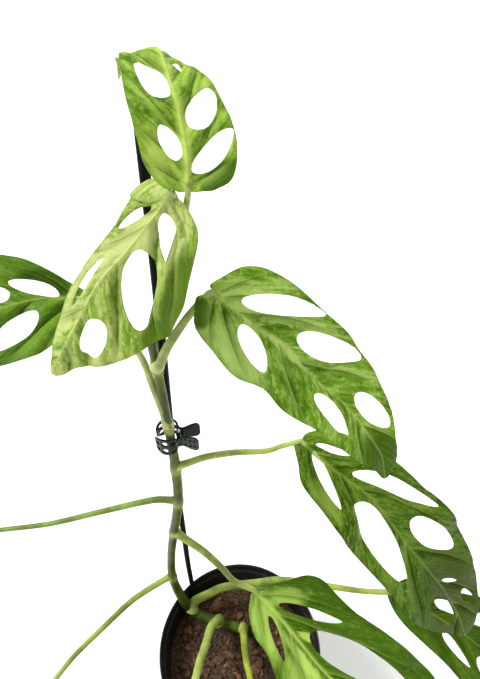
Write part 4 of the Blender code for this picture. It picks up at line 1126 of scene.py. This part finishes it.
def build_chips(top):
    """Bark chips and peat crumbs: cut and roughened blocks lying on the soil."""
    rng = random.Random(7)
    work = bmesh.new()
    tint = work.verts.layers.float.new("tint")
    made = 0
    while made < CHIP_COUNT:
        radius = (top - 2.5) * math.sqrt(rng.random())
        angle = rng.random() * 2 * math.pi
        size = rng.choice(CHIP_SIZES) * rng.uniform(0.8, 1.2)
        x, y = radius * math.cos(angle), radius * math.sin(angle)
        if radius + size > top or not clear_of_stems(x, y, size):
            continue
        z = soil_level(x, y) + 0.25 * size
        tilt = Matrix.Rotation(rng.uniform(-0.6, 0.6), 4, "X")
        tilt = tilt @ Matrix.Rotation(rng.uniform(-0.6, 0.6), 4, "Y")
        spin = Matrix.Rotation(rng.uniform(0, 6.28), 4, "Z")
        shape = Matrix.Diagonal((size * rng.uniform(0.7, 1.3) * MM, size * rng.uniform(0.4, 0.8) * MM,
                                 size * rng.uniform(0.25, 0.5) * MM, 1.0))
        place = Matrix.Translation((x * MM, y * MM, z * MM)) @ spin @ tilt @ shape
        block = bmesh.ops.create_icosphere(work, subdivisions=1, radius=0.9, matrix=place)
        shade = rng.random() ** 2
        for vertex in block["verts"]:
            vertex.co += Vector(rng.uniform(-0.22, 0.22) for _ in range(3)) * size * MM
            vertex[tint] = shade
        made += 1
    return piece_of(work, "bark_chips", [soil_material("soil_bark", *BARK)], smooth=28)


# Clip

def clip_place(work):
    """Moves a clip piece from its own frame onto the hinge's place."""
    bmesh.ops.translate(work, verts=work.verts, vec=Vector(CLIP_HINGE) * MM)


def clip_plastic(name):
    """Dark green glossy plastic with a pebbled face."""
    material, g, shader = new_material(name, roughness=0.4, specular_ior_level=0.15, coat_weight=0.04,
                                       coat_roughness=0.1)
    body = g.body()
    cloud = g.noise(body, 300.0, 3.0, 0.6)
    pebble = g.add("ShaderNodeTexVoronoi", {"Vector": body, "Scale": 1500.0}).outputs["Distance"]
    colour = g.mix(cloud, (0.003, 0.008, 0.003, 1), (0.012, 0.026, 0.010, 1))
    height = g.math("MULTIPLY_ADD", pebble, -0.5, cloud)
    feed(g, shader, colour, height, 0.0003, 0.35, g.math("MULTIPLY_ADD", cloud, 0.25, 0.16))
    return material


def clip_plate():
    """The jaw and wing of one half as a bent open-work plate, and its bend."""
    path = [Vector(p) for p in curve_between(CLIP_BEND, 10)]
    reach = lengths_along(path)
    upper = curve_between(WING_EDGE + JAW_EDGE, 8)
    upper = [(x, y + (0.32 * math.sin(6.0 * x) if 1.0 < x < 9.5 else 0.0)) for x, y in upper]
    edge = upper + [(x, -y) for x, y in reversed(upper)]
    holes = [egg(*hole, 24) for hole in JAW_HOLES]
    holes += [egg(x, -y, length, breadth, turn, 24) for x, y, length, breadth, turn in JAW_HOLES]
    along_cuts = [0.6 * k for k in range(1, 46)]
    work = flat_sheet([edge] + holes, along_cuts, [1.2 * k for k in range(-5, 6)])
    for vertex in work.verts:
        x, y, _ = vertex.co
        flat = spot_on(path, reach, min(max(x, 0.0), reach[-1] - 0.001))
        flat = flat + (path[-1] - path[-3]).normalized() * max(x - reach[-1], 0.0)
        flat = flat + (path[0] - path[2]).normalized() * max(-x, 0.0)
        vertex.co = Vector((flat.x, flat.y, y)) * MM
    return thickened(work, CLIP_PLATE, rounding=0.22), path, reach


def build_clip_half(node, body, flip, knuckles, material):
    """One open-work jaw with its finger wing, grip bumps and hinge knuckles."""
    plate, path, reach = clip_plate()
    work = bmesh.new()
    work.from_mesh(plate)
    outer = CLIP_BARREL_RADIUS
    for low, high in knuckles:
        add_to(work, turned([(CLIP_BORE_RADIUS, low), (outer - 0.15, low), (outer, low + 0.15),
                             (outer, high - 0.15), (outer - 0.15, high), (CLIP_BORE_RADIUS, high),
                             (CLIP_BORE_RADIUS, low)], 32))
        web = Matrix.Translation((0.4 * MM, -2.1 * MM, 0.5 * (low + high) * MM))
        web = web @ Matrix.Diagonal((1.6 * MM, 2.0 * MM, (high - low - 0.2) * MM, 1.0))
        bmesh.ops.create_cube(work, size=1.0, matrix=web)
    for k in range(3):
        for height in (-2.4, 2.4):
            grip_bump(work, path, reach, 2.0 + 2.6 * k, height)
    if flip:
        bmesh.ops.scale(work, vec=(1, -1, 1), verts=work.verts)
        bmesh.ops.reverse_faces(work, faces=work.faces)
    clip_place(work)
    dress(piece_of(work, node + "_fine", [material], smooth=35), node, body)


def add_to(work, other):
    """Adds one bmesh to another."""
    mesh = bpy.data.meshes.new("part")
    other.to_mesh(mesh)
    other.free()
    work.from_mesh(mesh)
    bpy.data.meshes.remove(mesh)


def grip_bump(work, path, reach, along, height):
    """A raised grip bump on the wing's outer face."""
    i = max(bisect_left(reach, along), 1)
    ahead = (path[i] - path[i - 1]).normalized()
    out = Vector((ahead.y, -ahead.x))
    if out.y > 0:
        out = -out
    spot = path[i] + out * 0.4
    place = Matrix.Translation(Vector((spot.x, spot.y, height)) * MM)
    bmesh.ops.create_icosphere(work, subdivisions=2, radius=0.75 * MM, matrix=place)


def build_clip():
    """The hinged butterfly clip with pin and spring."""
    plastic = clip_plastic("clip_plastic")
    build_clip_half("clip_front", "clip_jaw", False, [(-4.8, -3.2), (3.2, 4.8)], plastic)
    build_clip_half("clip_back", "root", True, [(-2.9, -1.2), (1.2, 2.9)], plastic)
    steel, g, shader = new_material("clip_steel", metallic=1.0)
    scratch = g.noise(g.mapped(g.body(), (1.0, 1.0, 0.1)), 2500.0, 3.0, 0.6)
    colour = g.mix(scratch, (0.42, 0.42, 0.43, 1), (0.62, 0.62, 0.63, 1))
    g.tree.links.new(colour, shader.inputs["Base Color"])
    g.tree.links.new(g.math("MULTIPLY_ADD", scratch, 0.3, 0.2), shader.inputs["Roughness"])
    pin = turned([(0.0, -5.9), (0.7, -5.85), (1.1, -5.6), (1.2, -5.3), (1.1, -5.1), (CLIP_PIN_RADIUS, -5.1),
                  (CLIP_PIN_RADIUS, 5.1), (1.1, 5.1), (1.2, 5.3), (1.1, 5.6), (0.7, 5.85), (0.0, 5.9)], 28)
    clip_place(pin)
    dress(piece_of(pin, "clip_pin_fine", [steel]), "clip_pin")
    work = bmesh.new()
    coil = []
    for i in range(61):
        angle = 2 * math.pi * SPRING_TURNS * i / 60
        coil.append((SPRING_RADIUS * math.cos(angle), SPRING_RADIUS * math.sin(angle),
                     SPRING_LENGTH * (i / 60 - 0.5), SPRING_WIRE_RADIUS))
    tube(work, coil, 8)
    clip_place(work)
    dress(piece_of(work, "clip_spring_fine", [steel]), "clip_spring")


# Floor, light and camera

def build_stage():
    """A pale floor, soft lights and the camera at the photo's viewing angle."""
    scene = bpy.context.scene
    floor_work = bmesh.new()
    bmesh.ops.create_grid(floor_work, x_segments=1, y_segments=1, size=6.0)
    material, _, shader = new_material("studio_floor", roughness=0.9)
    shader.inputs["Base Color"].default_value = (0.97, 0.97, 0.97, 1)
    shader.inputs["Emission Color"].default_value = (1.0, 1.0, 1.0, 1)
    shader.inputs["Emission Strength"].default_value = FLOOR_GLOW
    floor = piece_of(floor_work, "floor", [material], smooth=0)
    world = bpy.data.worlds.new("studio")
    world.use_nodes = True
    world.node_tree.nodes["Background"].inputs["Color"].default_value = (1.0, 1.0, 1.0, 1)
    world.node_tree.nodes["Background"].inputs["Strength"].default_value = ROOM_LIGHT
    scene.world = world
    for name, place, size, power in LAMPS:
        data = bpy.data.lights.new(name, "AREA")
        data.size = size
        data.energy = power
        lamp = bpy.data.objects.new(name, data)
        lamp.location = place
        lamp.rotation_euler = (Vector(LAMP_TARGET) - Vector(place)).to_track_quat("-Z", "Y").to_euler()
        scene.collection.objects.link(lamp)
    sun = bpy.data.lights.new("window_light", "SUN")
    sun.angle = math.radians(SUN_SPREAD)
    sun.energy = SUN_POWER
    lamp = bpy.data.objects.new("window_light", sun)
    lamp.rotation_euler = Vector(SUN_WAY).to_track_quat("-Z", "Y").to_euler()
    scene.collection.objects.link(lamp)
    camera_data = bpy.data.cameras.new("camera")
    camera_data.sensor_fit = "VERTICAL"
    camera_data.sensor_height = SENSOR_HEIGHT
    camera_data.lens = SENSOR_HEIGHT * FOCAL_LENGTH / PICTURE_HEIGHT
    camera_data.clip_start = 0.01
    camera = bpy.data.objects.new("camera", camera_data)
    camera.location = CAMERA_PLACE
    camera.rotation_euler = (math.radians(CAMERA_TILT), 0.0, 0.0)
    scene.collection.objects.link(camera)
    scene.camera = camera
    scene.view_settings.view_transform = "Standard"


build_stage()
pattern = leaf_pattern_group()
for index, (leaf_name, leaf_data) in enumerate(LEAVES.items()):
    build_leaf(index, leaf_name, leaf_data, pattern)
build_stem()
build_stake()
build_pot()
build_soil()
build_clip()
